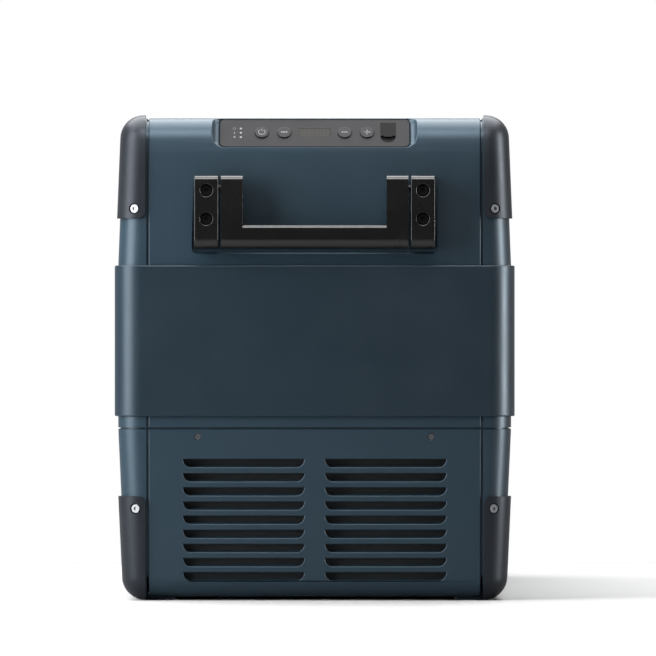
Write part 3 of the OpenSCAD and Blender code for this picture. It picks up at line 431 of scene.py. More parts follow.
def in_end_opening(c):
    return abs(c.x) < opening_half and abs(c.y) > end_y


lower = wall_piece("lower_shell_moulding",
                   lambda c: c.z < split_z - seam / 2 and not in_end_opening(c),
                   {0: (-opening_half, opening_half), 1: (-end_y, end_y), 2: (split_z - seam / 2,)}, 3.0)
print("lower shell:", len(lower.data.polygons), "faces")

# %% Openings in the lower shell's sides
for i in range(4):
    z = 106 + 13 * i
    cut(lower, rounded_block((-260, -274, z - 3), (260, -170, z + 3), 2.9, axis=0, segments=5))
for y in (-256, -206):
    cut(lower, rounded_block((160, y - 17.2, 47.8), (260, y + 17.2, 72.2)))
finish_piece(lower, "cabinet", ["lower_shell"], cabinet_plastic, 0.9)

# %% [markdown]
# The vent panel closes the lower shell's end. Each louvre has a flat upper edge and a lower
# edge that runs out in quarter circles. Its cutter is a block whose two lower corners are
# bevelled by almost its full height.

# %% Vent panel
louvre_rows, louvre_pitch, louvre_height = 9, 14, 8.0


def louvre_cutter(x0, x1, z_top):
    """A block whose two lower corners, seen from the end, run out in quarter circles."""
    z_low = z_top - louvre_height
    bm = rounded_block((x0, -340, z_low), (x1, -280, z_top))
    lower_ends = [e for e in bm.edges if all(abs(v.co.z - z_low) < 0.01 for v in e.verts)
                  and abs(e.verts[0].co.x - e.verts[1].co.x) < 0.01]
    round_edges(bm, lower_ends, louvre_height - 0.15, 10)
    return bm


def lower_end_panel(name):
    return wall_piece(name, lambda c: c.z < split_z - seam / 2 and abs(c.x) < panel_half
                      and c.y < -end_y - 0.5,
                      {0: (-panel_half, panel_half), 1: (-end_y - 0.5,), 2: (split_z - seam / 2,)}, 2.5)


vent = lower_end_panel("vent_panel_moulding")
for side in (-1, 1):
    x0, x1 = sorted((side * 10.3, side * 129.9))
    for i in range(louvre_rows):
        cut(vent, louvre_cutter(x0, x1, 139.8 - louvre_pitch * i))
    hole = disc(3.2, -20, 20, Matrix.Translation((side * 115, -316, 162)) @ outwards)
    cut(vent, hole)
finish_piece(vent, "cabinet", ["vent_panel"], cabinet_plastic, 1.0, 3, clamp=False)
print("vent panel:", len(vent.data.polygons), "faces before rounding")

# %% [markdown]
# Behind every slot stands a blade that rises inwards, so that air gets in and rain and glances
# don't. A blade is a thin block whose inner edge is lifted. Behind the blades lies the dust
# filter, a sheet of open-cell foam; its charcoal is painted shade, standing in for the dark deep
# inside the slots.

# %% Vent blades
def vent_blade(side, z):
    """A blade behind one slot: it starts just under the slot's lower edge and rises inwards."""
    front = -(half_length - draft(z) - 2.1)
    x0, x1 = sorted((side * 12.3, side * 127.9))
    bm = rounded_block((x0, front, z - 1.3), (x1, front + 6, z))
    for v in bm.verts:
        if v.co.y > front + 3:
            v.co.z += 4.5
    return bm


blades = bmesh.new()
for side in (-1, 1):
    for i in range(louvre_rows):
        merge(blades, vent_blade(side, 129.0 - louvre_pitch * i))
for side in (-1, 1):
    rail = rounded_block((134.1, -310.5, 26), (136.1, -296, 143))
    bmesh.ops.scale(rail, vec=(side, 1, 1), verts=rail.verts)
    bmesh.ops.recalc_face_normals(rail, faces=rail.faces[:])
    merge(blades, rail)
blade_set = link_mesh("vent_blades", blades)
finish_piece(blade_set, "cabinet", [], cabinet_plastic, 0.3)
print("blades:", len(blade_set.data.polygons), "faces")

# %% Rear lower panel
def turn_to_rear(piece):
    """Mirrors a finished control-end moulding to the far end."""
    bm = bmesh.new()
    bm.from_mesh(piece.data)
    bmesh.ops.scale(bm, vec=(1, -1, 1), verts=bm.verts)
    bmesh.ops.reverse_faces(bm, faces=bm.faces[:])
    bm.to_mesh(piece.data)
    bm.free()
    return piece


rear_low = turn_to_rear(lower_end_panel("rear_lower_panel_moulding"))
hole = disc(11.4, -40, 40, Matrix.Translation((0, 300, 66)) @ outwards)
cut(rear_low, hole)
finish_piece(rear_low, "cabinet", ["rear_lower_panel"], cabinet_plastic, 0.8)

# %% [markdown]
# The upper shell carries the control housing at one end and stops lower down elsewhere, where
# the lid sits. Behind the shadow gap runs a tongue, a slightly smaller band of the same form,
# so that the gap reads as a dark line and not as a slit.

# %% Upper shell
lid_y, deck_y, seam_z = -235.5, -238.0, 431.0
shell_top = 426.9
hinge_places, hinge_half, hinge_inner = (-100, 180), 32.6, 187.15
latch_inner, latch_ends = -185.5, (-16, 96)
upper = wall_piece("upper_shell_moulding",
                   lambda c: c.z > split_z + seam / 2 and not in_end_opening(c)
                   and (c.z < shell_top or c.y < deck_y)
                   and not (c.z > 475 and abs(c.x) < opening_half),
                   {0: (-opening_half, opening_half), 1: (-end_y, end_y, deck_y),
                    2: (split_z + seam / 2, shell_top)}, 3.0)
cut(upper, rounded_block((-260, latch_ends[0], 403.4), (latch_inner, latch_ends[1], 440)))
for y in hinge_places:
    cut(upper, rounded_block((hinge_inner, y - hinge_half, 397.6), (260, y + hinge_half, 440)))
finish_piece(upper, "cabinet", ["upper_shell"], cabinet_plastic, 0.9)

# %% Tongue, seam lips and housings inside the upper shell
inner = wall_piece("upper_shell_tongue", lambda c: 156 < c.z < 178, {2: (156, 178)}, 2.4, -2.7)
finish_piece(inner, "cabinet", [], cabinet_plastic, 0)
lips = wall_piece("seam_lips", lambda c: 156.9 < abs(c.x) < 170.1 and abs(c.y) > 286 and 24 < c.z < 474
                  and (c.z < shell_top or c.y < 0),
                  {0: (-170.1, -156.9, 156.9, 170.1), 1: (-286, 286), 2: (24, 474, shell_top)}, 2.0, -3.05)
finish_piece(lips, "cabinet", [], cabinet_plastic, 0)
housings = link_mesh("deck_back_wall", rounded_block((-190.0, -240.5, 427.2), (190.0, -237.5, 457)))
top_part = rounded_block((-183, -240.5, 456.9), (183, -237.5, 470))
combine(housings, link_mesh("cutter", top_part), "UNION")
finish_piece(housings, "cabinet", [], cabinet_plastic, 0.4)

# %% [markdown]
# The latch lies in a pocket that is cut into both the cabinet and the lid. Thin walls line it,
# so that no foam shows when the lid is open.

# %% Latch pockets
back_x, end_walls, lining = (-185.4, -183.2), (-18.2, 96.1), 2.1


def latch_lining(name, body, z0, z1, out, closed):
    """The walls of a latch pocket: its back, its two ends and, if closed, its lower side."""
    bm = rounded_block((back_x[0], -18.2, z0), (back_x[1], 98.2, z1))
    for y in end_walls:
        merge(bm, rounded_block((out, y, z0), (-185.3, y + lining, z1)))
    if closed:
        merge(bm, rounded_block((out, -16.2, z0), (-185.3, 96.2, z0 + lining)))
    finish_piece(link_mesh(name, bm), body, [], cabinet_plastic, 0)


latch_lining("cabinet_latch_pocket", "cabinet", 401.2, 426.8, -190.2, True)
latch_lining("lid_latch_pocket", "lid", 432.1, 465.0, -187.0, False)
print("latch pockets lined in the cabinet and in the lid")

# %% [markdown]
# The front panel turns over the top edge and becomes the control deck. Two hollows are cut in
# it: the upright pocket that the handle is screwed to, and the flared recess over the fascia.
# Both need material behind them, so a floor and a funnel are joined on before the cut. The
# recess opens like a bell, so its rim rolls over gently and catches a broad, soft light.

# %% Front panel
lean = math.radians(38)
fascia_origin = Vector((0, -299.3, 460.9))
on_fascia = Matrix.Translation(fascia_origin) @ Matrix.Rotation(math.radians(90) - lean, 4, "X")


def flared_hollow(grow, low):
    """The hollow over the fascia: a rounded block that opens like a bell towards its top."""
    w, h = 188 + 2 * grow, 35.2 + 2 * grow
    bm = rounded_block((-w / 2, -h / 2, low), (w / 2, h / 2, 15), 6, axis=2, segments=6)
    bell = {1.0: 1.0, 2.5: 3.4, 4.0: 5.2, 7.0: 6.8, 15.0: 8.5}
    cut_lines(bm, 2, *list(bell)[:-1])
    for v in bm.verts:
        for level, wider in bell.items():
            if abs(v.co.z - level) < 0.01:
                v.co.x *= (w + 2 * wider) / w
                v.co.y *= (h + max(wider - 5.2, 0)) / h
    bmesh.ops.transform(bm, matrix=on_fascia, verts=bm.verts)
    return bm


def upper_end_panel(name, far_y, high):
    return wall_piece(name, lambda c: split_z + seam / 2 < c.z < high and abs(c.x) < panel_half
                      and c.y < far_y,
                      {0: (-panel_half, panel_half), 1: (far_y,), 2: (split_z + seam / 2, high)}, 2.5)


def add_pocket(piece):
    """Joins on the upright floor behind the handle and cuts the pocket in front of it."""
    floor = rounded_block((-124, -314.6, 339), (124, -309.8, 428))
    skin_block = link_mesh("floor", floor)
    combine(skin_block, link_mesh("limit", cabinet_form(-0.4)), "INTERSECT")
    combine(piece, skin_block, "UNION")
    pocket = rounded_block((-120.5, -340, 343), (120.5, -313.2, 440), 4.5, axis=1, segments=5)
    return cut(piece, pocket)


front = add_pocket(upper_end_panel("front_panel_moulding", -241.2, 500))
funnel = link_mesh("funnel", flared_hollow(2.4, -2.4))
combine(funnel, link_mesh("limit", cabinet_form(-0.05)), "INTERSECT")
combine(front, funnel, "UNION")
cut(front, flared_hollow(0, 0))
finish_piece(front, "cabinet", ["front_panel"], cabinet_plastic, 1.1, 3,
             clamp=False)
print("front panel:", len(front.data.polygons), "faces before rounding")

# %% Rear panel
rear = turn_to_rear(add_pocket(upper_end_panel("rear_panel_moulding", -end_y - 0.5, shell_top)))
finish_piece(rear, "cabinet", ["rear_panel"], cabinet_plastic, 0.9, 3)

# %% [markdown]
# The band is a straight sleeve. It is a rounded block with its ends open, thickened, and its
# rims are rounded so that they catch a thin line of light.

# %% Middle band
bm = rounded_block((-198, -320, band_z[0]), (198, 320, band_z[1]), 27, segments=16)
caps = [f for f in bm.faces if abs(f.normal.z) > 0.9]
bmesh.ops.delete(bm, geom=caps, context="FACES_ONLY")
band = thicken(link_mesh("middle_band_moulding", bm), 3.4)
# The band's darker plastic is painted shade for the upright band
finish_piece(band, "cabinet", ["middle_band"], shaded_band_plastic, 1.2, 3)

# %% [markdown]
# The corner guards are the same drafted form, grown by 3 mm with a slightly tighter corner, and
# cut to the corner. Their free ends are rounded, and each has a counterbored screw that sits at
# a slant on the corner.

# %% Corner guards
guard_x, guard_y = 167.2, 286.0
guard_grow, guard_sharper, guard_wall = 3.0, 3.0, 2.95
free_radius, bar_length = 8, 60
screw_turn = math.radians(20)


def corner_frame(sx, sy, z):
    """Local +Z points out of the corner along its normal."""
    lean_in = draft(z)
    place = Vector((sx * (half_width - lean_in - corner_radius),
                    sy * (half_length - lean_in - corner_radius), z))
    angle = math.atan2(sy * math.cos(screw_turn), sx * math.sin(screw_turn))
    return Matrix.Translation(place) @ Matrix.Rotation(angle, 4, "Z") @ across


def guard_piece(name, sx, sy, z0, z1, screw_z, free_end=None, pad=False):
    """One guard; free_end is -1 or 1 for the end that is cut round, below or above."""
    bm = cabinet_form(guard_grow, guard_sharper)
    cut_lines(bm, 0, sx * guard_x)
    cut_lines(bm, 1, sy * guard_y)
    cut_lines(bm, 2, z0, z1)
    keep_faces(bm, lambda c: c.x * sx > guard_x and c.y * sy > guard_y and z0 < c.z < z1)
    piece = thicken(link_mesh(name, bm), guard_wall)
    if pad:
        foot = rounded_block((138, -290.8, 0), (168.8, -252, 2.95), 3.5)
        bmesh.ops.scale(foot, vec=(sx, -sy, 1), verts=foot.verts)
        bmesh.ops.recalc_face_normals(foot, faces=foot.faces[:])
        combine(piece, link_mesh("foot", foot), "UNION")
    if free_end:
        z = z0 if free_end < 0 else z1
        for axis, place, sign in ((0, sx * guard_x, sx), (1, sy * guard_y, sy)):
            if axis == 0:
                centre = Vector((place + sign * free_radius, sy * 320, z - free_end * free_radius))
                size = (17, 100, 17)
                shift = Vector((-sign * 8.5, 0, free_end * 8.5))
            else:
                centre = Vector((sx * 200, place + sign * free_radius, z - free_end * free_radius))
                size = (60, 17, 17)
                shift = Vector((0, -sign * 8.5, free_end * 8.5))
            corner = rounded_block(centre + shift - Vector(size) / 2, centre + shift + Vector(size) / 2)
            block = link_mesh("corner", corner)
            turn = outwards if axis == 0 else across
            bar = disc(free_radius, -bar_length, bar_length, Matrix.Translation(centre) @ turn, 40)
            cut(block, bar)
            combine(piece, block, "DIFFERENCE")
    if screw_z:
        bore = disc(5.3, 10, 60, corner_frame(sx, sy, screw_z), 40)
        cut(piece, bore)
    return piece


def join_pieces(pieces, name):
    """Puts several meshes in one object."""
    bm = bmesh.new()
    for piece in pieces:
        bm.from_mesh(piece.data)
        bpy.data.objects.remove(piece)
    mesh = bpy.data.meshes.new(name)
    bm.to_mesh(mesh)
    bm.free()
    joined = bpy.data.objects.new(name, mesh)
    bpy.context.collection.objects.link(joined)
    return joined


for label, sy, z0, z1, free_end, screw_z, pad in (
        ("upper_front", -1, 377.5, 500, -1, 387, False),
        ("upper_rear", 1, 377.5, 429.8, -1, 387, False),
        ("lower_front", -1, -20, 103, 1, 91, True), ("lower_rear", 1, -20, 103, 1, 91, True)):
    pair = [guard_piece("guard", sx, sy, z0, z1, screw_z, free_end, pad) for sx in (-1, 1)]
    guards = join_pieces(pair, "corner_guards_" + label)
    finish_piece(guards, "cabinet", ["guards_" + label], guard_plastic, 0.9, 3)
    print(guards.name, len(guards.data.polygons), "faces")
caps = join_pieces([guard_piece("cap", sx, 1, 433.0, 500, 446) for sx in (-1, 1)],
                   "lid_corner_cap_mouldings")
finish_piece(caps, "lid", ["lid_corner_caps"], guard_plastic, 0.9, 3)

# %% [markdown]
# Each handle is one U-shaped moulding of glass-filled nylon that swings on steel pins between
# two brackets. Seen from its end it is a block with a small radius along its upper front edge
# and a large one along its lower front edge, where the fingers close. The block starts as a
# cube, and each of the two edges is picked by its place and bevelled with its own radius.

# %% Handle blocks
handle_front, handle_low, arm_high = 342.0, 346.5, 419
grip_back, bracket_back = 322, 313.2
pin_at = (-330, 407)


def handle_block(x0, x1, back, low, high, top_radius, low_radius):
    """A block whose upper and lower front edges are rounded with their own radii."""
    bm = rounded_block((x0, -handle_front, low), (x1, -back, high))
    for z, radius, steps in ((high, top_radius, 8), (low, low_radius, 14)):
        edge = [e for e in bm.edges if all(abs(v.co.z - z) < 0.01 and v.co.y < -handle_front + 0.01
                                           for v in e.verts)]
        round_edges(bm, edge, radius, steps)
    bmesh.ops.recalc_face_normals(bm, faces=bm.faces[:])
    return bm


def handle_moulding(name):
    """Both arms and the grip of one handle, with the bores for its pins."""
    grip = link_mesh(name, handle_block(-71.5, 71.5, grip_back, handle_low, 370.5, 3.6, 11))
    for side in (-1, 1):
        x0, x1 = sorted((side * 70.8, side * 92.2))
        arm = link_mesh("arm", handle_block(x0, x1, grip_back, handle_low, arm_high, 4.5, 11))
        eye = disc(11.4, -10.7, 10.7, Matrix.Translation((side * 81.5, *pin_at)) @ across, 56)
        combine(arm, link_mesh("eye", eye), "UNION")
        combine(grip, arm, "UNION")
        pin = disc(3.08, -10, 10, Matrix.Translation((side * 87.6, *pin_at)) @ across, 32)
        cut(grip, pin)
    return grip


def bracket_pair(name):
    """The two brackets of one handle, each with two counterbores."""
    pieces = []
    for side in (-1, 1):
        x0, x1 = sorted((side * 94.8, side * 118.2))
        piece = link_mesh("bracket", handle_block(x0, x1, bracket_back, handle_low, arm_high, 4.5, 11))
        for z in (376.5, 404.5):
            for radius, low, high in ((6.2, 333, 360), (3.2, 300, 340)):
                bore = disc(radius, low, high, Matrix.Translation((side * 106.5, 0, z)) @ outwards, 48)
                cut(piece, bore)
        pieces.append(piece)
    return join_pieces(pieces, name)


for end in ("front", "rear"):
    swing = handle_moulding(end + "_handle_moulding")
    brackets = bracket_pair(end + "_bracket_mouldings")
    if end == "rear":
        turn_to_rear(swing)
        turn_to_rear(brackets)
    finish_piece(swing, end + "_handle", [end + "_handle_arms", end + "_grip"],
                 handle_plastic, 0.7, 3)
    finish_piece(brackets, "cabinet", [end + "_brackets"], handle_plastic, 0.7, 3)
    print(end, "handle:", len(swing.data.polygons), "faces, brackets:", len(brackets.data.polygons))

# %% [markdown]
# The control panel is a flat fascia at the bottom of its recess. It is drawn lying flat, with
# its middle at the origin, and a matrix lays it on the slope. Buttons are pressed from below
# into round holes, so each is a short bar with a softened rim.

# %% Fascia
button_places = {"power": -52.2, "set": -30.1, "minus": 29.7, "plus": 51.8}
plate = link_mesh("fascia_moulding", rounded_block((-93.5, -17.5, 0.05), (93.5, 17.5, 2.05), 5))
holes = [disc(7.05, -2, 5, Matrix.Translation((x, 0, 0))) for x in button_places.values()]
holes += [disc(1.2, -2, 5, Matrix.Translation((-73, 5.5 * i, 0)), 20) for i in (-1, 0, 1)]
holes += [rounded_block((-15.5, -5.5, -2), (15.5, 5.5, 5)),
          rounded_block((65.2, -4.5, -2), (80.0, 13.0, 5)),
          disc(7.4, -2, 5, Matrix.Translation((72.6, -5, 0)))]
for hole in holes:
    cut(plate, hole)
plate.data.transform(Matrix.Scale(0.001, 4) @ on_fascia @ Matrix.Scale(1000, 4))
finish_piece(plate, "cabinet", ["control_fascia"], fascia_plastic, 0.35, 2)
print("fascia:", len(plate.data.polygons), "faces")


# %% Buttons and their marks
ink_low, ink_high = 3.38, 3.46
icon_low, icon_high = 2.04, 2.10
segment_low, segment_high = 1.94, 1.98


def spun_bar(radius, width, low, high, start, turn, steps=24):
    """Part of a flat ring round local Z: a small square outline, spun and closed."""
    bm = bmesh.new()
    corners = [bm.verts.new((radius + dx * width / 2, 0, z))
               for dx, z in ((-1, low), (1, low), (1, high), (-1, high))]
    outline = [bm.edges.new((corners[i], corners[(i + 1) % 4])) for i in range(4)]
    bmesh.ops.rotate(bm, verts=bm.verts, matrix=Matrix.Rotation(start, 3, "Z"))
    whole = abs(turn) > 6.28
    bmesh.ops.spin(bm, geom=corners + outline, cent=(0, 0, 0), axis=(0, 0, 1), angle=turn, steps=steps,
                   use_merge=whole)
    if not whole:
        bmesh.ops.holes_fill(bm, edges=bm.edges[:], sides=4)
    bmesh.ops.recalc_face_normals(bm, faces=bm.faces[:])
    return bm


def bar(x0, x1, y0, y1, low=ink_low, high=ink_high):
    return rounded_block((x0, y0, low), (x1, y1, high))


marks = {
    "power": [spun_bar(3.3, 0.7, ink_low, ink_high, math.radians(125), math.radians(290)),
              bar(-0.35, 0.35, 1.4, 4.2)],
    "set": [bar(-3.0 + 2.25 * i, -1.5 + 2.25 * i, -0.8, 0.8) for i in range(3)],
    "minus": [bar(-3.3, 3.3, -0.55, 0.55)],
    "plus": [bar(-3.3, 3.3, -0.5, 0.5), bar(-0.4, 0.4, -3.3, 3.3)],
}


def on_panel(bm, x=0.0, y=0.0):
    """Moves what is drawn flat at the origin to its place on the sloping fascia."""
    bmesh.ops.transform(bm, matrix=on_fascia @ Matrix.Translation((x, y, 0)), verts=bm.verts)
    return bm


for label, x in button_places.items():
    cap = disc(6.8, -1.0, 3.4, segments=64)
    rim = [e for e in cap.edges if all(v.co.z > 3.3 for v in e.verts)]
    round_edges(cap, rim, 0.75, 5)
    merge(cap, disc(7.15, -1.0, -0.1, segments=64))
    merge(cap, disc(2.0, -2.65, -1.0, segments=24))
    key = link_mesh(label + "_button_cap", on_panel(cap, x))
    finish_piece(key, label + "_key", [label + "_button"], button_plastic, 0)
    ink = bmesh.new()
    for shape in marks[label]:
        merge(ink, shape)
    mark = link_mesh(label + "_button_mark", on_panel(ink, x))
    finish_piece(mark, label + "_key", [], grey_print, 0)
print("buttons:", list(button_places))

# %% [markdown]
# The display shows four faint digits even when it is off, because the unlit segments of such a
# display are a little lighter than its window. Each digit is seven small bars. Beside the three
# lamps are three printed marks.

# %% Display digits and printed marks
digits = bmesh.new()
for i in range(4):
    middle = -11.1 + 7.4 * i
    for x0, x1, y0, y1 in ((-1.7, 1.7, 3.5, 4.1), (-1.7, 1.7, -0.3, 0.3), (-1.7, 1.7, -4.1, -3.5),
                           (-2.5, -1.9, 0.3, 3.7), (1.9, 2.5, 0.3, 3.7),
                           (-2.5, -1.9, -3.7, -0.3), (1.9, 2.5, -3.7, -0.3)):
        merge(digits, bar(middle + x0, middle + x1, y0, y1, segment_low, segment_high))
finish_piece(link_mesh("display_segments", on_panel(digits)), "cabinet", [], segment_ink, 0)
icons = bmesh.new()
merge(icons, on_panel(spun_bar(1.35, 0.35, icon_low, icon_high, 0, 2 * math.pi), -79.3, 5.5))
merge(icons, on_panel(bar(-0.3, 0.3, -1.4, 1.4, icon_low, icon_high), -79.3, 0))
merge(icons, on_panel(disc(1.5, icon_low, icon_high, Matrix.Rotation(-math.pi / 2, 4, "Z"), 3), -79.3, -5.2))
finish_piece(link_mesh("lamp_marks", icons), "cabinet", [], grey_print, 0)
print("digits and marks done")

# %% [markdown]
# Wire, tube and pipe are all rods bent round corners. A curve does this best: its points are
# the corners, each corner is replaced by a short arc, and the curve's own bevel gives the
# thickness. The curve is turned into a mesh when it is finished.

# %% Bent rods
def bent_path(points, bend, closed=False):
    """The points of a line whose corners are rounded by arcs that start a bend away."""
    corners = [Vector(p) for p in points]
    path = []
    for i, corner in enumerate(corners):
        if not closed and i in (0, len(corners) - 1):
            path.append(corner)
            continue
        before = (corners[i - 1] - corner).normalized() * bend
        after = (corners[(i + 1) % len(corners)] - corner).normalized() * bend
        for step in range(7):
            t = step / 6
            path.append(corner + before * (1 - t) ** 2 + after * t ** 2)
    return path


def bent_rods(name, rods):
    """One mesh from several rods: points, radius, bend and whether the rod is a closed loop."""
    curve = bpy.data.curves.new(name, "CURVE")
    curve.dimensions = "3D"
    curve.bevel_resolution = 2
    curve.use_fill_caps = True
    curve.bevel_depth = 0.001
    for points, radius, bend, closed in rods:
        path = bent_path(points, bend, closed)
        spline = curve.splines.new("POLY")
        spline.points.add(len(path) - 1)
        for point, place in zip(spline.points, path):
            point.co = (*(place * 0.001), 1)
            point.radius = radius
        spline.use_cyclic_u = closed
    rod = bpy.data.objects.new(name, curve)
    bpy.context.collection.objects.link(rod)
    mesh = bpy.data.meshes.new_from_object(rod.evaluated_get(bpy.context.evaluated_depsgraph_get()))
    bpy.data.objects.remove(rod)
    bpy.data.curves.remove(curve)
    piece = bpy.data.objects.new(name, mesh)
    bpy.context.collection.objects.link(piece)
    return piece


def hoop(half_x, y0, y1, z):
    return [(-half_x, y0, z), (half_x, y0, z), (half_x, y1, z), (-half_x, y1, z)]


# %% Wire basket
rim_wire, grid_wire = 2.1, 1.6
wires = [(hoop(138.9, -95.4, 260.4, 362.8), rim_wire, 16, True)]
wires += [(hoop(137.0, -93.5, 258.5, 75 + 57.6 * i), grid_wire, 14, True) for i in range(5)]
for i in range(9):
    y = -70 + 38.1 * i
    wires.append(([(-138.9, y, 362), (-138.9, y, 61.8), (138.9, y, 61.8), (138.9, y, 362)],
                  grid_wire, 12, False))
for i in range(7):
    x = -111 + 37 * i
    wires.append(([(x, -95.4, 362), (x, -95.4, 64.9), (x, 260.4, 64.9), (x, 260.4, 362)],
                  grid_wire, 12, False))
basket = bent_rods("wire_basket_rods", wires)
finish_piece(basket, "cabinet", ["wire_basket"], coated_wire, 0)
print("basket:", len(basket.data.polygons), "faces")

# %% Evaporator and refrigerant lines
turns = [(hoop(155.8, -115.8, 280.8, 90 + 28 * i), 3, 25.8, True) for i in range(6)]
turns.append(([(155.8, 0, 90), (155.8, 0, 230)], 3, 1, False))
finish_piece(bent_rods("evaporator_tube", turns), "cabinet", ["evaporator_coil"],
             aluminium, 0)
lines = [([(-80, -240, 119), (-80, -240, 156), (162, -240, 156), (162, -284, 156), (162, -284, 132),
           (154, -284, 132)], 3, 8, False),
         ([(22, -284, 36), (4, -284, 36), (4, -170, 36), (4, -170, 196), (4, -153, 196)], 2.5, 8, False),
         ([(-60, -205, 119), (-60, -205, 199), (-60, -153, 199)], 4, 12, False)]
pipes = bent_rods("refrigerant_pipes", lines)
drier_at = Matrix.Translation((4, -170, 0))
drier = disc(9, 76, 124, drier_at, 32)
merge(drier, disc(9, 124, 132, drier_at, 32, tip=3))
merge(drier, disc(3, 68, 76, drier_at, 32, tip=9))
pipes = join_pieces([pipes, link_mesh("drier", drier)], "refrigerant_pipes_and_drier")
finish_piece(pipes, "cabinet", ["refrigerant_lines"], copper, 0)
print("pipes:", len(pipes.data.polygons), "faces")

# %% [markdown]
# The lid's shell is the top of the same form, behind the control housing.

# %% Lid shell
lid = wall_piece("lid_shell_moulding", lambda c: c.z > seam_z + 1 and c.y > lid_y,
                 {1: (lid_y,), 2: (seam_z + 1,)}, 3.0)
front_wall = rounded_block((-191, lid_y, 432), (191, lid_y + 3, 480))
wall = link_mesh("wall", front_wall)
combine(wall, link_mesh("limit", cabinet_form(-0.05)), "INTERSECT")
combine(lid, wall, "UNION")
cut(lid, rounded_block((-260, latch_ends[0], 420), (latch_inner, latch_ends[1], 466.6)))
for y in hinge_places:
    cut(lid, rounded_block((hinge_inner, y - hinge_half, 420), (260, y + hinge_half, 460.6)))
print("lid shell:", len(lid.data.polygons), "faces")
finish_piece(lid, "lid", ["lid_outer"], cabinet_plastic, 1.0, 3)

# %% [markdown]
# The measured parts that are right as they are keep their shape. Their triangles are welded,
# their edges get a small rounding, and they get a finish.

# %% Finishing the measured parts
def dress(node, material, round_mm):
    """Welds, rounds and smooths one measured part and gives it its finish."""
    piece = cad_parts[node]
    piece.data.materials.clear()
    piece.data.materials.append(material)
    piece.modifiers.new("weld", "WELD").merge_threshold = 0.00001
    if round_mm:
        step = piece.modifiers.new("rounding", "BEVEL")
        step.width = round_mm * 0.001
        step.segments = 2
        step.limit_method = "ANGLE"
        step.angle_limit = math.radians(35)
    piece.modifiers.new("normals", "WEIGHTED_NORMAL").keep_sharp = False
    for polygon in piece.data.polygons:
        polygon.use_smooth = True


finishes = {
    "vent_screws": (dull_zinc, 0.2), "guard_screws": (zinc_steel, 0.3), "lid_cap_screws": (zinc_steel, 0.3),
    "bracket_screws": (black_steel, 0.4), "handle_pivots": (black_steel, 0.2),
    "display_window": (smoked_window, 0.2),
    "indicator_lights": (lamp_lens, 0.2), "control_board": (circuit_green, 0.1),
    "usb_socket": (cover_rubber, 0.2), "usb_cover": (cover_rubber, 0.3),
    "inner_liner": (liner_plastic, 0.8), "insulation_foam": (foam_skin, 0.5),
    "interior_light": (lamp_lens, 0.5), "dust_filter": (filter_foam_and_shade, 0),
    "drain_spout": (liner_plastic, 0.3), "drain_plug": (seal_rubber, 0.4),
    "chassis_plate": (zinc_steel, 0.2), "compressor": (painted_steel, 1.2),
    "compressor_grommets": (seal_rubber, 0.3), "condenser": (aluminium, 0.1),
    "fan_frame": (dark_plastic, 0.5), "fan_rotor": (dark_plastic, 0.3), "power_module": (painted_steel, 0.6),
    "dc_inlet": (dark_plastic, 0.4), "ac_inlet": (dark_plastic, 0.4), "lid_liner": (liner_plastic, 0.8),
    "lid_foam": (foam_skin, 0.5), "lid_gasket": (seal_rubber, 0.4), "hinge_bases": (handle_plastic, 0.5),
    "hinge_pins": (zinc_steel, 0.2), "hinge_leaves": (handle_plastic, 0.5),
    "lid_latch": (handle_plastic, 0.6), "latch_keeper": (zinc_steel, 0.2),
}
for node, (material, round_mm) in finishes.items():
    dress(node, material, round_mm)
print("dressed", len(finishes), "measured parts")

# %% [markdown]
# The stage is a plain white sweep in a studio. A large soft panel overhead lights the sweep and
# draws a bright line on every upper edge, and a tall one on the left wraps the left-hand
# corners. A panel above the front and a narrow strip on the right are seen in reflections only:
# the first gives the front its sheen, the second draws the right-hand corners. The room in front
# is nearly dark, which makes the front read as a deep blue, so the world's brightness rises from
# the front of the room to the sweep behind; seen directly, it is plain white. The floor is painted
# paler towards the front, where less light reaches it: painted light that keeps it white to the
# edge of the view. It throws back less light than it shows.

# %% Stage
bm = bmesh.new()
bmesh.ops.create_grid(bm, x_segments=1, y_segments=1, size=1.2, matrix=Matrix.Translation((0, -0.55, 0)))
floor_mesh = bpy.data.meshes.new("floor")
bm.to_mesh(floor_mesh)
bm.free()
floor = bpy.data.objects.new("floor", floor_mesh)
bpy.context.collection.objects.link(floor)
floor_paint, tree = new_material("matt white studio floor")
ground = add_node(tree, "ShaderNodeTexCoord")
ways = add_node(tree, "ShaderNodeSeparateXYZ", {"Vector": ground.outputs["Object"]})
# Painted light: the floor is paler towards the front, where the panels light it less, so that it shows white
# throughout
painted_light_fade = add_node(tree, "ShaderNodeMapRange", {"Value": ways.outputs["Y"]}, From_Min=-1.3, From_Max=-0.5,
                To_Min=0.95, To_Max=0.62)
paper = add_node(tree, "ShaderNodeBsdfDiffuse", {"Color": painted_light_fade.outputs["Result"]})
card = add_node(tree, "ShaderNodeBsdfDiffuse")
card.inputs["Color"].default_value = colour("#a4a4a4")
sight = add_node(tree, "ShaderNodeLightPath")
both = add_node(tree, "ShaderNodeMixShader", {"Fac": sight.outputs["Is Camera Ray"]})
tree.links.new(card.outputs[0], both.inputs[1])
tree.links.new(paper.outputs[0], both.inputs[2])
close_material(floor_paint, both)
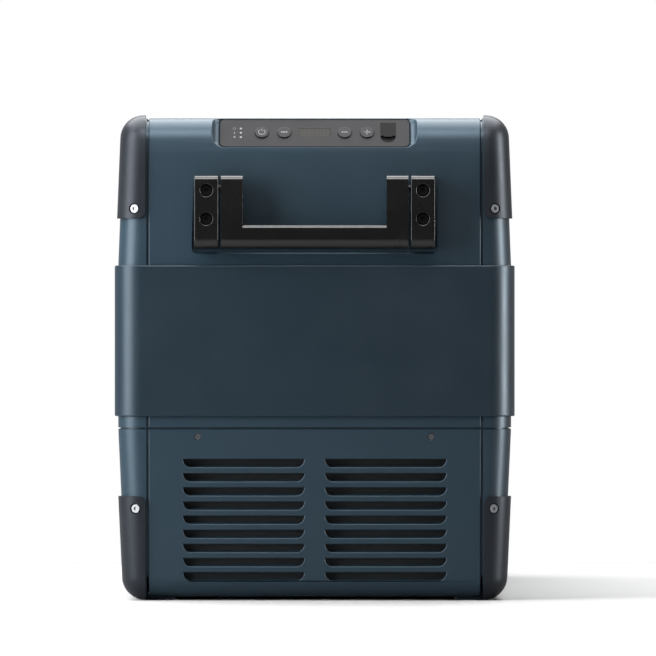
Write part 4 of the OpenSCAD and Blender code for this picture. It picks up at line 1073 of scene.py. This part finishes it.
floor.data.materials.append(floor_paint)

# %% Room light
world = bpy.data.worlds.new("studio")
world.use_nodes = True
sky = world.node_tree
sky.nodes.clear()
room = add_node(sky, "ShaderNodeTexCoord")
axes = add_node(sky, "ShaderNodeSeparateXYZ", {"Vector": room.outputs["Generated"]})
depth = add_node(sky, "ShaderNodeMapRange", {"Value": axes.outputs["Y"]}, interpolation_type="SMOOTHSTEP",
                 From_Min=-0.5, From_Max=1.0, To_Min=0.03, To_Max=0.5)
unseen = add_node(sky, "ShaderNodeBackground", {"Strength": depth.outputs["Result"]})
seen = add_node(sky, "ShaderNodeBackground", Strength=1.0)
for shade in (unseen, seen):
    shade.inputs["Color"].default_value = (1, 1, 1, 1)
rays = add_node(sky, "ShaderNodeLightPath")
pick = add_node(sky, "ShaderNodeMixShader", {"Fac": rays.outputs["Is Camera Ray"]})
sky.links.new(unseen.outputs[0], pick.inputs[1])
sky.links.new(seen.outputs[0], pick.inputs[2])
end = add_node(sky, "ShaderNodeOutputWorld", {"Surface": pick.outputs[0]})
bpy.context.scene.world = world
bpy.context.scene.view_settings.view_transform = "Standard"


# %% Soft panels
def soft_panel(name, place, aim, size, power):
    lamp = bpy.data.lights.new(name, "AREA")
    lamp.shape = "RECTANGLE"
    lamp.size, lamp.size_y = size
    lamp.energy = power
    stand = bpy.data.objects.new(name, lamp)
    stand.location = place
    stand.rotation_euler = (Vector(aim) - Vector(place)).to_track_quat("-Z", "Y").to_euler()
    bpy.context.collection.objects.link(stand)
    return stand


soft_panel("overhead panel", (-0.1, 0.1, 1.3), (-0.1, 0.1, 0.0), (1.8, 1.3), 52)
soft_panel("left panel", (-1.2, -0.9, 0.6), (0, -0.32, 0.3), (0.8, 1.5), 37)
for name, place, size, power in (("front panel", (-0.1, -1.4, 1.55), (1.2, 0.85), 32),
                                 ("right strip", (2.1, -0.8, 0.65), (0.4, 1.7), 84)):
    strip = soft_panel(name, place, (0, -0.3, 0.4), size, power)
    strip.visible_diffuse = False
